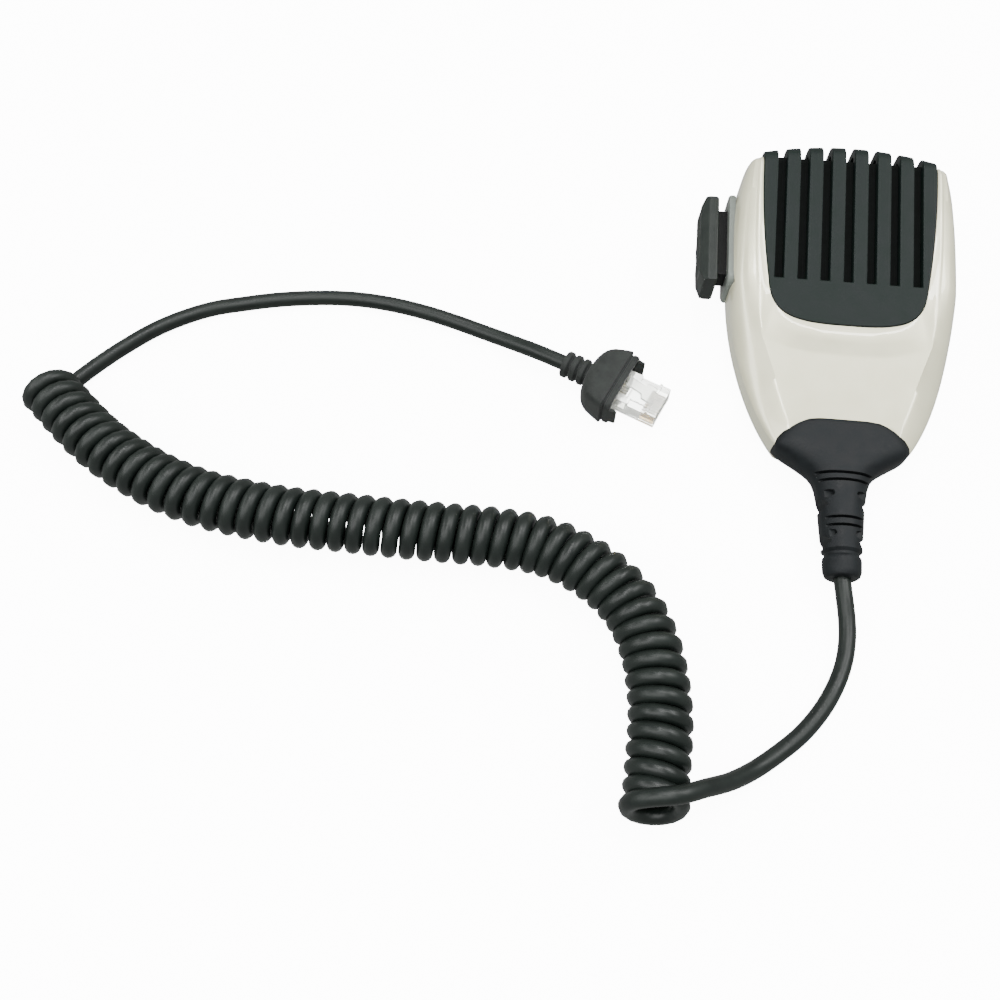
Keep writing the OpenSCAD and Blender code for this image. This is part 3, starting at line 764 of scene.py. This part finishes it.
@dataclass
class CaseShells:
    """Front and rear shells. Rings of the front shell run from the joint up the side wall,
    along the edge of the flat panel, up the chin and over the rim into the grille's pocket."""

    case_width: float = 69.2
    wall: float = 2.2
    counts: tuple[int, ...] = (8, 16, 30, 12, 14)
    screws: tuple[tuple[float, float], ...] = ((25.5, 89.0), (-25.5, 89.0), (22.0, 24.0), (-22.0, 24.0))
    waist: float = 0.655

    def half(self, *sections: Sequence[Vector]) -> list[Vector]:
        """Spaces one half ring's sections, with the last middle point."""
        found: list[Vector] = []
        for points, count in zip(sections, self.counts):
            found += spread(points, count)
        return [*found, sections[-1][-1].copy()]

    def lifted(self, points: Sequence[Vector], lift: float) -> list[Vector]:
        """Puts flat points on the front face, raised by a lift."""
        return [Vector((p.x, p.y, face_z(p.y) + lift)) for p in points]

    def outline(self) -> list[Vector]:
        """Right half of the widest outline, at the joint."""
        hw, end = self.case_width / 2, CASE_LENGTH
        lower = ((16.5, 0.0), (25.4, 8.0), (hw, 34.0), (hw, 60.0))
        sections = (
            [Vector((0, 0)), Vector((16.5, 0))],
            bezier(*lower, 0.0, self.waist),
            bezier(*lower, self.waist, 1.0)
            + bezier((hw, 60), (hw, 76), (hw - 0.4, end - 15), (32.0, end - 8))[1:],
            bezier((32.0, end - 8), (31.5, end - 4.6), (29.2, end - 3.7), (26, end - 3)),
            bezier((26, end - 3), (17, end - 1), (8, end), (0, end)),
        )
        return self.half(*([Vector((p.x, p.y, PART_Z)) for p in s] for s in sections))

    def edge(self) -> list[Vector]:
        """Right half of the edge where the side wall meets the panel and the rim."""
        head = bezier((25.2, 36.0), (27.3, 43.0), (28.6, 56.0), (28.8, 72.0)) + \
            bezier((28.8, 72.0), (28.9, 80.0), (28.8, 87.0), (28.6, 91.5))[1:]
        raised = [Vector((p.x, p.y, face_z(p.y) + 0.4 * min(1.0, (p.y - 36.0) / 12.0))) for p in head]
        over = through([Vector(p) for p in (
            (28.6, 91.5, face_z(91.5) + 0.4), (28.4, 94.0, 28.8), (28.0, 95.6, 27.9), (27.6, 96.6, 25.5),
            (27.4, 97.0, 22.0), (27.2, 97.25, 18.6), (26.5, 97.5, 16.9))], 0.3)
        return self.half(
            self.lifted([Vector((0, 9.0)), Vector((16.2, 10.8))], 0.0),
            self.lifted([Vector((16.2, 10.8)), Vector((25.2, 36.0))], 0.0),
            raised,
            over,
            bezier((26.5, 97.5, 16.9), (17.3, 99.8, 16.9), (8, 100.75, 16.9), (0, 100.75, 16.9)),
        )

    def pocket(self) -> list[Vector]:
        """Right half of the rim's inner edge, round the grille."""
        low = ((0.0, 40.85), (16.0, 40.65), (23.2, 42.4), (24.15, 54.0))
        high = ((24.15, 54.0), (25.35, 62.0), (26.9, 75.0), (26.92, 91.5))
        over = through([Vector(p) for p in (
            (26.92, 91.5, face_z(91.5) + 0.5), (26.92, 94.1, 28.95), (26.9, 95.6, 28.1), (26.88, 96.6, 25.5),
            (26.8, 97.0, 22.0), (26.7, 97.2, 19.0), (26.2, 97.45, 17.7))], 0.3)
        return self.half(
            self.lifted(bezier(*low, 0.0, 0.36), 0.5),
            self.lifted(bezier(*low, 0.36, 0.75), 0.5),
            self.lifted(bezier(*low, 0.75, 1.0) + bezier(*high)[1:], 0.5),
            over,
            bezier((26.2, 97.45, 17.7), (17.2, 99.8, 17.7), (8, 100.75, 17.7), (0, 100.75, 17.7)),
        )

    def chin(self, edge: list[Vector], pocket: list[Vector]) -> list[list[Vector]]:
        """Half rings from the panel's top edge up the chin and along the rim.

        Args:
            edge: The half ring of the panel's and rim's outer edge.
            pocket: The half ring of the rim's inner edge.

        Returns:
            Four half rings, the first one on the panel's top edge.
        """
        a, b, c, d, _ = self.counts
        start = a + b
        marks = (
            (0.0, 0.0, 0.0, (0, 31.0), (9, 31.3), (16.5, 31.9), (22.0, 33.6)),
            (0.16, 0.10, 0.15, (0, 32.6), (9, 32.8), (16.3, 33.3), (21.8, 35.2)),
            (0.40, 0.55, 0.35, (0, 35.4), (8.6, 35.5), (15.6, 35.9), (21.4, 38.0)),
            (0.66, 0.80, 0.35, (0, 38.0), (8, 38.1), (14.8, 38.4), (20.4, 40.2)),
        )
        found = []
        for share, rise, swell, *low in marks:
            ring = []
            for i, (p, q) in enumerate(zip(edge, pocket)):
                if i < start:
                    ring.append(None)
                    continue
                turn = min(1.0, max(0.0, (i - start - c) / d)) * math.pi / 2
                out = Vector((0.0, math.sin(turn), math.cos(turn)))
                ring.append(p.lerp(q, share)
                            + out * swell * (1 - 0.6 * math.sin(turn)) * min(1.0, (i - start) / 4))
            joint = edge[start].lerp(pocket[start], share)
            points = [Vector(p) for p in low]
            left = spread([points[0], points[1]], a)
            right = spread(bezier(points[1], points[2], points[3], joint.to_2d()), b)
            height = joint.z - face_z(joint.y)
            for i, p in enumerate([*left, *right]):
                blend = max(0.0, (i - a) / b) ** 3
                ring[i] = Vector((p.x, p.y, face_z(p.y) + rise * (1 - blend) + height * blend))
            found.append(ring)
        return found

    def wall_rings(self, low: list[Vector], high: list[Vector], steps: int) -> list[list[Vector]]:
        """Half rings of the bulging side wall between the joint and the edge.

        Args:
            low, high: The half rings at its ends.
            steps: Number of bands.

        Returns:
            The rings between the two.
        """
        a, b, c, *_ = self.counts
        found = []
        for k in range(1, steps):
            t = k / steps
            ring = []
            for i, (p, q) in enumerate(zip(low, high)):
                full = min(1.0, max(0.0, (i - a - b + 4) / (c / 2)))
                lower = Vector((p.x, p.y, p.z + (0.23 + 0.32 * full) * (q.z - p.z)))
                upper = q.lerp(p, (2 + full) / 3)
                upper.z = p.z + (0.56 + 0.42 * full) * (q.z - p.z)
                ring.append(p * (1 - t) ** 3 + lower * (3 * t * (1 - t) ** 2)
                            + upper * (3 * t * t * (1 - t)) + q * t**3)
            found.append(ring)
        return found

    def cavity(self, low: float, high: float, slope: bool) -> bpy.types.Object:
        """Room inside a shell.

        Args:
            low, high: Heights of its ends.
            slope: Whether its top follows the front face.

        Returns:
            The tool that cuts it.
        """
        base = inset(mirrored(self.outline()), self.wall)
        rings = [[Vector((p.x, p.y, z)) for p in base] for z in (low, high)]
        if slope:
            rings.append([Vector((p.x * 0.76, (p.y - 52) * 0.86 + 54, face_z((p.y - 52) * 0.86 + 54) - 4.4))
                          for p in base])
        return loft("cavity", rings)

    def key_openings(self) -> tuple[bpy.types.Object, bpy.types.Object]:
        """Tools that make room for the key's bezel and for its neck."""
        return (block("opening", (-40, 54.7, 4.4), (-33.55, 88.9, 19.6)),
                block("slot", (-40, 57.4, 8.0), (-24, 86.2, 16.0)))

    def build_front(self, boot: CordBoot) -> bpy.types.Object:
        """Makes the front shell."""
        outline, edge, pocket = self.outline(), self.edge(), self.pocket()
        start = sum(self.counts[:3])
        sunk = []
        for i, p in enumerate(pocket):
            turn = min(1.0, max(0.0, (i - start) / self.counts[3])) * math.pi / 2
            sunk.append(p - Vector((0.0, math.sin(turn), math.cos(turn))) * 3.3)
        lip = [p.lerp(q, 0.08) for p, q in zip(pocket, sunk)]
        halves = [outline, *self.wall_rings(outline, edge, 9), edge,
                  *self.chin(edge, pocket), pocket, lip, sunk]
        shell = loft("front_shell_lacquered", [mirrored(h) for h in halves])
        soften(shell, 0.55, 3, 21.0)
        cut(shell, self.cavity(PART_Z - 1, PART_Z + 2.0, True), boot.cutter(), *self.key_openings())
        settle(shell, CASE_FRAME, SILVER_LACQUER, Body.CASE, ("front_shell",), 24.0)
        return shell

    def build_rear(self, boot: CordBoot) -> bpy.types.Object:
        """Makes the rear shell with its screw wells."""
        base = mirrored(self.outline())
        profile = ((12.0, 0.0), (8.0, 0.0), (6.2, 0.15), (4.6, 0.5), (3.2, 1.05), (2.1, 1.85), (1.2, 2.9),
                   (0.5, 3.9), (0.12, 4.7), (0.0, 5.6))
        rings = [[Vector((p.x, p.y, z)) for p in inset(base, depth)] for z, depth in profile]
        shell = loft("rear_shell_lacquered", rings)
        tools = [self.cavity(3.2, PART_Z + 1, False), boot.cutter(), *self.key_openings()]
        for x, y in self.screws:
            bpy.ops.object.select_all(action="DESELECT")
            bpy.ops.mesh.primitive_cylinder_add(vertices=40, radius=2.85, depth=4.2, location=(x, y, 0.8))
            tools.append(bpy.context.object)
            bpy.ops.object.transform_apply(location=True, rotation=True, scale=True)
        cut(shell, *tools)
        return settle(shell, CASE_FRAME, SILVER_LACQUER, Body.CASE, ("rear_shell",), 30.0)


@dataclass
class RibbedGrille:
    """Ribbed black front that runs over the case's end. It is drawn flat, then bent."""

    pitch: float = 7.0
    slot: float = 2.7
    slot_start: float = 55.0
    depth: float = 2.5
    bend: float = 4.2
    stand: float = 0.72
    side: float = 26.76
    tip_z: float = 17.55
    floor_z: float = 17.9
    floor_rise: float = 1.1

    def end_y(self, x: float) -> float:
        """Where the bent ribs end, seen from the front."""
        return CASE_LENGTH + 0.85 - 3.0 * (x / 26.0) ** 2

    def start_y(self, x: float) -> float:
        """Where the bend starts."""
        return self.end_y(x) - self.bend * (1 + math.sin(FACE_SLOPE))

    def length_to(self, x: float, z: float) -> float:
        """Length along the bent surface down to a height on the end."""
        y = self.start_y(x)
        middle = face_z(y) + self.stand - self.bend * math.cos(FACE_SLOPE)
        return y + self.bend * (math.pi / 2 + FACE_SLOPE) + middle - z

    def bent(self, p: Vector) -> Vector:
        """Wraps a point of the flat drawing over the end of the case."""
        y = self.start_y(p.x)
        if p.y <= y:
            return Vector((p.x, p.y - p.z * math.sin(FACE_SLOPE),
                           face_z(p.y) + self.stand + p.z * math.cos(FACE_SLOPE)))
        upright = Vector((0, -math.sin(FACE_SLOPE), math.cos(FACE_SLOPE)))
        centre = Vector((p.x, y, face_z(y) + self.stand)) - self.bend * upright
        arc = self.bend * (math.pi / 2 + FACE_SLOPE)
        turn = min(p.y - y, arc) / self.bend - FACE_SLOPE
        out = Vector((0.0, math.sin(turn), math.cos(turn)))
        return centre + out * (self.bend + p.z) - Vector((0, 0, max(0.0, p.y - y - arc)))

    def apron(self, low: float) -> list[Vector]:
        """Right half of the curved lower edge, up to the start of the straight side."""
        curve = bezier((0, 41.0), (16, 40.8), (23.05, 42.55), (24, 54), count=16) + \
            bezier((24, 54), (25.2, 62), (26.7, 75), (self.side, 90), count=10)[1:]
        return [Vector((p.x - low * (p.x / 26.0), p.y + low * 0.4, 0.0)) for p in curve]

    def comb(self) -> list[Vector]:
        """Outline of the ribbed plate, drawn flat."""
        def tip(x: float) -> float:
            """Length of the plate's end at a distance from the middle."""
            return self.length_to(x, self.tip_z)

        right = self.apron(0.0)
        outer = self.slot / 2 + 3 * self.pitch
        right += [Vector((self.side, tip(self.side), 0.0)), Vector((outer, tip(outer), 0.0))]
        for i in (3, 2, 1, 0):
            far, near = i * self.pitch + self.slot / 2, i * self.pitch - self.slot / 2
            right.append(Vector((far, self.slot_start, 0.0)))
            if i:
                left = near - (self.pitch - self.slot)
                right += [Vector((near, self.slot_start, 0.0)), Vector((near, tip(near), 0.0)),
                          Vector((left, tip(left), 0.0))]
        right.append(Vector((0.0, self.slot_start, 0.0)))
        return mirrored(right)

    def plate(self, name: str, outline: list[Vector], top: float, thick: float, edge: float,
              rise: float = 0.0) -> bpy.types.Object:
        """Makes a plate from a flat outline and bends it.

        Args:
            name: The piece's name.
            outline: The outline, drawn flat.
            top: Height of its upper side against the ribs' tops.
            thick: Its thickness.
            edge: Rounding of its edges.
            rise: How far it comes up towards the ribs' tops along the bend.

        Returns:
            The object.
        """
        bpy.ops.object.select_all(action="DESELECT")
        bpy.ops.mesh.primitive_circle_add(vertices=len(outline), fill_type="NGON")
        obj = bpy.context.object
        obj.name = name
        for vert, p in zip(obj.data.vertices, outline):
            vert.co = Vector((p.x, p.y, top))
        with editing(obj):
            bpy.ops.mesh.select_all(action="SELECT")
            bpy.ops.mesh.normals_make_consistent(inside=False)
            cuts = [self.slot_start + 4.0 * k for k in range(1, 9)]
            cuts += [90.0 + 0.62 * k for k in range(26)]
            for y in cuts:
                bpy.ops.mesh.select_all(action="SELECT")
                bpy.ops.mesh.bisect(plane_co=(0, y, 0), plane_no=(0, 1, 0))
        if obj.data.polygons[0].normal.z < 0:
            obj.data.flip_normals()
        modify(obj, "SOLIDIFY", thickness=thick, offset=-1.0)
        if edge:
            soften(obj, edge, 2, 40.0)
        for vert in obj.data.vertices:
            turn = min(1.0, max(0.0, (vert.co.y - self.start_y(vert.co.x)) / self.bend))
            vert.co = self.bent(vert.co + Vector((0.0, 0.0, rise * turn)))
        return obj

    def build(self) -> bpy.types.Object:
        """Makes the ribs and the slots' floor."""
        ribs = self.plate("grille_ribbed_front", self.comb(), 0.0, self.depth + 0.3, 0.4)
        floor_half = self.apron(0.25)
        floor_half += [Vector((self.side - 0.25, self.length_to(self.side, self.floor_z), 0.0)),
                       Vector((0.0, self.length_to(0.0, self.floor_z), 0.0))]
        floor = self.plate("grille_slot_backing", mirrored(floor_half), -self.depth, 1.2, 0.0,
                           self.floor_rise)
        settle(floor, CASE_FRAME, BACKING_FELT, Body.CASE, ("grille",), 40.0)
        return settle(ribs, CASE_FRAME, TEXTURED_ABS, Body.CASE, ("grille",), 40.0)


@dataclass
class TalkKey:
    """Sliding key: a chamfered cap with a knurled face, a neck and a foot on the switch."""

    middle_y: float = 71.8
    middle_z: float = 12.0
    rows: int = 7
    columns: int = 20

    def build(self) -> bpy.types.Object:
        """Makes the key."""
        stations = ((-38.6, 15.2, 5.7), (-39.2, 15.7, 6.0), (-41.6, 15.7, 6.0), (-42.7, 15.7, 5.5),
                    (-44.15, 12.5, 4.7))
        rings = [[Vector((x, self.middle_y + a * long, self.middle_z + b * high))
                  for a, b in ((1, 1), (-1, 1), (-1, -1), (1, -1))] for x, long, high in stations]
        cap = loft("talk_key_knurled", rings)
        soften(cap, 0.3, 2, 12.0)
        self.knurl(cap)
        neck = block("neck", (-38.8, self.middle_y - 12, 8.5), (-31.2, self.middle_y + 12, 15.5))
        foot = block("foot", (-32.2, self.middle_y - 2.5, 9.5), (-25.3, self.middle_y + 2.5, 14.5))
        stop = block("stop", (-33.4, self.middle_y - 13.6, 8.5), (-32.0, self.middle_y + 13.6, 15.5))
        for piece in (neck, foot, stop):
            soften(piece, 0.35, 2)
        slide = join(neck, foot, stop)
        slide.name = "talk_key_slide"
        # The slide's finish is painted shade: darker than the cap's nylon.
        settle(slide, CASE_FRAME, SLIDE_ACETAL_PAINTED_SHADE, Body.KEY, ("talk_key",), 30.0)
        return settle(cap, CASE_FRAME, KEY_NYLON, Body.KEY, ("talk_key",), 30.0)

    def knurl(self, cap: bpy.types.Object) -> None:
        """Raises rows of small pyramids on the cap's outer face."""
        face_x = min(v.co.x for v in cap.data.vertices)
        with editing(cap):
            pick(cap, Part.FACE, lambda f: f.normal.x < -0.99 and f.calc_area() > 50)
            bpy.ops.mesh.inset(thickness=0.7)
            for k in range(1, self.columns):
                y = self.middle_y + 11.4 * (2 * k / self.columns - 1)
                self.face_only(cap, face_x)
                bpy.ops.mesh.bisect(plane_co=(0, y, 0), plane_no=(0, 1, 0))
            for k in range(1, self.rows):
                z = self.middle_z + 3.7 * (2 * k / self.rows - 1)
                self.face_only(cap, face_x)
                bpy.ops.mesh.bisect(plane_co=(0, 0, z), plane_no=(0, 0, 1))
            self.face_only(cap, face_x)
            bpy.ops.mesh.poke(offset=0.24)

    def face_only(self, cap: bpy.types.Object, face_x: float) -> None:
        """Selects the cells of the cap's outer face, inside its border."""
        pick(cap, Part.FACE, lambda f: f.normal.x < -0.99 and abs(f.calc_center_median().x - face_x) < 0.01
             and abs(f.calc_center_median().y - self.middle_y) < 11.7
             and abs(f.calc_center_median().z - self.middle_z) < 3.85)


@dataclass
class KeyBezel:
    """Grey frame that guides the key's neck."""

    low: tuple[float, float, float] = (-35.7, 54.8, 4.5)
    high: tuple[float, float, float] = (-33.62, 88.8, 19.5)

    def build(self) -> bpy.types.Object:
        """Makes the frame with its opening."""
        frame_piece = block("key_bezel_frame", self.low, self.high)
        with editing(frame_piece):
            pick(frame_piece, Part.EDGE, lambda e: abs(e.verts[0].co.y - e.verts[1].co.y) < 0.01
                 and abs(e.verts[0].co.z - e.verts[1].co.z) < 0.01)
            bpy.ops.mesh.bevel(offset=3.4, segments=6, affect="EDGES")
            pick(frame_piece, Part.EDGE, lambda e: all(
                abs(v.co.x - self.low[0]) < 0.01 and not self.low[1] + 3 < v.co.y < self.high[1] - 3
                for v in e.verts))
            bpy.ops.mesh.bevel(offset=0.9, segments=3, affect="EDGES")
        cut(frame_piece, block("opening", (-37, 59.45, 8.15), (-32, 84.15, 15.85)))
        soften(frame_piece, 0.35, 2)
        return settle(frame_piece, CASE_FRAME, GREY_ABS, Body.CASE, ("key_bezel",))


@dataclass
class HangerStud:
    """Turned button on the back."""

    middle_y: float = 70.0
    sides: int = 64

    def build(self) -> bpy.types.Object:
        """Makes the stud from turned rings."""
        profile = ((0.6, -5.95), (5.5, -5.95), (6.2, -5.8), (6.5, -5.4), (6.5, -4.5), (6.3, -4.15),
                   (5.9, -4.0), (4.4, -4.0), (4.1, -3.9), (4.0, -3.6), (4.0, -0.3), (4.25, 0.0),
                   (2.5, 0.0), (2.5, 6.4), (2.2, 6.6))
        rings = [[Vector((r * math.cos(2 * math.pi * k / self.sides),
                          self.middle_y + r * math.sin(2 * math.pi * k / self.sides), z))
                  for k in range(self.sides)] for r, z in profile]
        stud = loft("hanger_stud_turned", rings)
        return settle(stud, CASE_FRAME, TURNED_NICKEL, Body.CASE, ("hanger_stud",), 28.0)


# ---- plug ----
@dataclass
class PlugHood:
    """Rubber hood over the plug: a ringed sleeve, a dome, a groove and a lip with two ears."""

    sides: int = 64
    stations: tuple[tuple[float, float, float, float], ...] = (
        (0.0, 3.2, 3.2, 2.0), (0.1, 3.9, 3.9, 2.0), (0.5, 4.3, 4.3, 2.0), (1.8, 4.3, 4.3, 2.0),
        (2.2, 3.9, 3.9, 2.0),
        (2.35, 3.3, 3.3, 2.0), (2.85, 3.3, 3.3, 2.0), (3.0, 3.9, 3.9, 2.0), (3.4, 4.3, 4.3, 2.0),
        (4.7, 4.3, 4.3, 2.0), (5.1, 3.9, 3.9, 2.0), (5.25, 3.3, 3.3, 2.0), (5.75, 3.3, 3.3, 2.0),
        (5.9, 3.9, 3.9, 2.0), (6.3, 4.3, 4.3, 2.0), (7.5, 4.3, 4.3, 2.0), (7.9, 3.9, 3.9, 2.0),
        (8.05, 3.4, 3.4, 2.0),
        (8.7, 3.6, 3.5, 2.0), (8.9, 5.4, 4.5, 2.2), (9.2, 6.8, 4.9, 2.6), (9.8, 8.1, 5.4, 3.0),
        (10.6, 9.1, 5.8, 3.6), (11.6, 9.8, 6.1, 4.2), (12.8, 10.3, 6.3, 5.0), (14.6, 10.8, 6.4, 5.6),
        (16.4, 11.3, 6.5, 6.0), (17.9, 11.7, 6.55, 6.2), (18.2, 11.5, 6.4, 6.2), (18.35, 10.8, 5.6, 6.0),
        (18.95, 10.8, 5.6, 6.0), (19.1, 11.1, 5.9, 6.0), (20.4, 11.05, 5.85, 6.0), (20.75, 10.8, 5.6, 6.0),
        (20.8, 9.8, 4.75, 6.0), (20.4, 9.6, 4.6, 6.0), (12.4, 8.8, 4.5, 4.6),
    )

    def build(self) -> bpy.types.Object:
        """Makes the hood and its ears."""
        rings = [[Vector((x, a, b)) for a, b in rounded(width, height, power, self.sides)]
                 for x, width, height, power in self.stations]
        hood = loft("plug_hood_moulding", rings)
        for side in (-1, 1):
            ear = loft("ear", [
                [Vector((x, side * y, z)) for x, y in ((20.3, 9.5), (20.3, 10.9), (22.9, 10.5), (23.1, 9.8))]
                for z in (-3.2, 3.2)])
            soften(ear, 0.25, 2)
            join(hood, ear)
        return settle(hood, PLUG_FRAME, HOOD_RUBBER, Body.CASE, ("plug_hood",), 36.0)


@dataclass
class ModularPlug:
    """Clear plug body with its comb of contact slots, and the springy latch above it."""

    ways: int = 8
    way_pitch: float = 1.02
    nose: float = 34.0
    half_width: float = 5.85
    half_height: float = 3.3

    def build_body(self) -> bpy.types.Object:
        """Makes the clear body."""
        body = block("plug_body_clear", (12.62, -self.half_width, -self.half_height),
                     (self.nose, self.half_width, self.half_height))
        tools = [
            block("bore", (11, -4.0, -1.7), (23.6, 4.0, 1.7)),
            block("window", (18.6, -3.4, 1.2), (23.4, 3.4, 4.0)),
            block("step", (31.2, -7, 2.7), (35, 7, 4.0)),
            block("shoulder", (24.6, 3.6, 2.2), (30.4, 7, 4.0)),
            block("shoulder", (24.6, -7, 2.2), (30.4, -3.6, 4.0)),
        ]
        for i in range(self.ways):
            y = (i - (self.ways - 1) / 2) * self.way_pitch
            tools.append(block("way", (self.nose - 5.2, y - 0.25, -4.2), (self.nose + 0.6, y + 0.25, -1.2)))
        cut(body, *tools)
        soften(body, 0.12, 2, 40.0)
        return settle(body, PLUG_FRAME, CLEAR_POLYCARBONATE, Body.CASE, ("plug_body",), 30.0)

    def build_latch(self) -> bpy.types.Object:
        """Makes the latch: a wide root and a narrow bar that rises towards the hood."""
        outline = ((0.0, 3.0), (-3.2, 3.0), (-3.9, 1.6), (-9.2, 1.6))
        rings = [[Vector((x, y, z)) for x, y in [*outline, *((x, -y) for x, y in reversed(outline))]]
                 for z in (0.0, 0.95)]
        latch = loft("plug_latch_clear", rings)
        soften(latch, 0.14, 2, 40.0)
        root = Matrix.Translation((self.nose - 3.4, 0.0, self.half_height + 0.1))
        hinge = root @ Matrix.Rotation(math.radians(15), 4, "Y")
        return settle(latch, PLUG_FRAME @ hinge, CLEAR_POLYCARBONATE, Body.LATCH,
                      ("plug_latch",), 30.0)


# ---- CAD nodes that keep their shape ----
@dataclass(frozen=True)
class CarriedOver:
    """Finishes of the CAD nodes whose shape stays."""

    finishes: tuple[tuple[str, Finish], ...] = (
        ("case_seal", SEAL_RUBBER), ("grille_cloth", GRILLE_CLOTH), ("capsule_holder", SEAL_RUBBER),
        ("mic_capsule", ZINC_STEEL), ("capsule_leads", RED_INSULATION), ("circuit_board", SOLDER_MASK),
        ("amplifier_parts", COMPONENT_EPOXY), ("board_screws", ZINC_STEEL), ("wire_header", CREAM_NYLON),
        ("lead_wires", GREY_INSULATION), ("switch_body", COMPONENT_EPOXY), ("switch_plunger", RED_ACETAL),
        ("stud_washer", ZINC_STEEL), ("stud_nut", ZINC_STEEL), ("case_screws", ZINC_STEEL),
        ("cord_clamp", ZINC_STEEL), ("clamp_screws", ZINC_STEEL), ("cord_stub", CORD_JACKET),
        ("plug_contacts", GOLD_FLASH), ("plug_wires", GREY_INSULATION),
    )

    def dress(self) -> None:
        """Gives each node its material."""
        for name, finish in self.finishes:
            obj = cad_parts[name]
            obj.data.materials.clear()
            obj.data.materials.append(finish.material())
            LOG.info("%s: dressed in %s", name, finish.name)


# ---- studio ----
@dataclass
class Studio:
    """Camera over the table, a white floor and soft lights."""

    eye: tuple[float, float, float] = (-0.0815, -0.1925, 0.283)
    tilt: float = 27.0
    turn: float = 5.4
    lens: float = 37.8

    def camera(self) -> None:
        """Adds the camera and makes it the scene's."""
        view = bpy.data.cameras.new("table_view")
        view.lens = self.lens
        view.sensor_width = 36.0
        view.clip_start = 0.01
        obj = bpy.data.objects.new("table_view", view)
        obj.location = self.eye
        obj.rotation_euler = (math.radians(self.tilt), 0.0, math.radians(self.turn))
        bpy.context.collection.objects.link(obj)
        bpy.context.scene.camera = obj

    def softbox(self, name: str, place: Sequence[float], size: tuple[float, float], power: float) -> None:
        """Adds a rectangular light that points at the table's middle, its second side along Y."""
        data = bpy.data.lights.new(name, "AREA")
        data.shape = "RECTANGLE"
        data.size, data.size_y = size
        data.energy = power
        obj = bpy.data.objects.new(name, data)
        obj.location = place
        back = Vector(place).normalized()
        across = Vector((0.0, 1.0, 0.0)).cross(back).normalized()
        obj.rotation_euler = Matrix((across, back.cross(across), back)).transposed().to_euler()
        bpy.context.collection.objects.link(obj)

    def build(self) -> None:
        """Adds the floor, the sky and the lights."""
        bpy.ops.object.select_all(action="DESELECT")
        bpy.ops.mesh.primitive_plane_add(size=6.0, location=(0, 0, -0.0002))
        floor = bpy.context.object
        floor.name = "studio_floor"
        bpy.ops.object.transform_apply(location=True, rotation=True, scale=True)
        floor.data.materials.append(FLOOR_PAINT.material())
        # The floor glows like a light table, but it lights the piece only through the sky below.
        floor.visible_diffuse = False
        floor.visible_glossy = False
        sky = bpy.data.worlds.new("studio_sky")
        bpy.context.scene.world = sky
        sky.use_nodes = True
        back = sky.node_tree.nodes["Background"]
        back.inputs["Color"].default_value = (0.93, 0.96, 0.94, 1.0)
        back.inputs["Strength"].default_value = 0.75
        self.softbox("front_box", (-0.3, -0.45, 0.85), (0.9, 0.6), 8.0)
        self.softbox("top_tube", (-0.13, 0.17, 0.95), (0.09, 0.8), 6.5)
        self.softbox("cross_tube", (0.24, 0.2, 0.93), (0.7, 0.05), 3.5)
        self.softbox("right_tube", (0.55, 0.21, 0.76), (0.16, 0.8), 6.0)
        self.softbox("left_strip", (-0.75, -0.1, 0.5), (0.2, 0.9), 4.0)


def main() -> None:
    """Builds the studio, the cord and then every other piece, in order."""
    logging.basicConfig(level=logging.INFO, format="%(name)s %(message)s")
    studio = Studio()
    studio.camera()
    cord, length = CurlyCord().build()
    boot = CordBoot()
    boot.build()
    shells = CaseShells()
    shells.build_front(boot)
    shells.build_rear(boot)
    RibbedGrille().build()
    KeyBezel().build()
    TalkKey().build()
    HangerStud().build()
    CarriedOver().dress()
    hood = PlugHood().build()
    plug = ModularPlug()
    body, latch = plug.build_body(), plug.build_latch()
    studio.build()


if __name__ == "__main__":
    main()
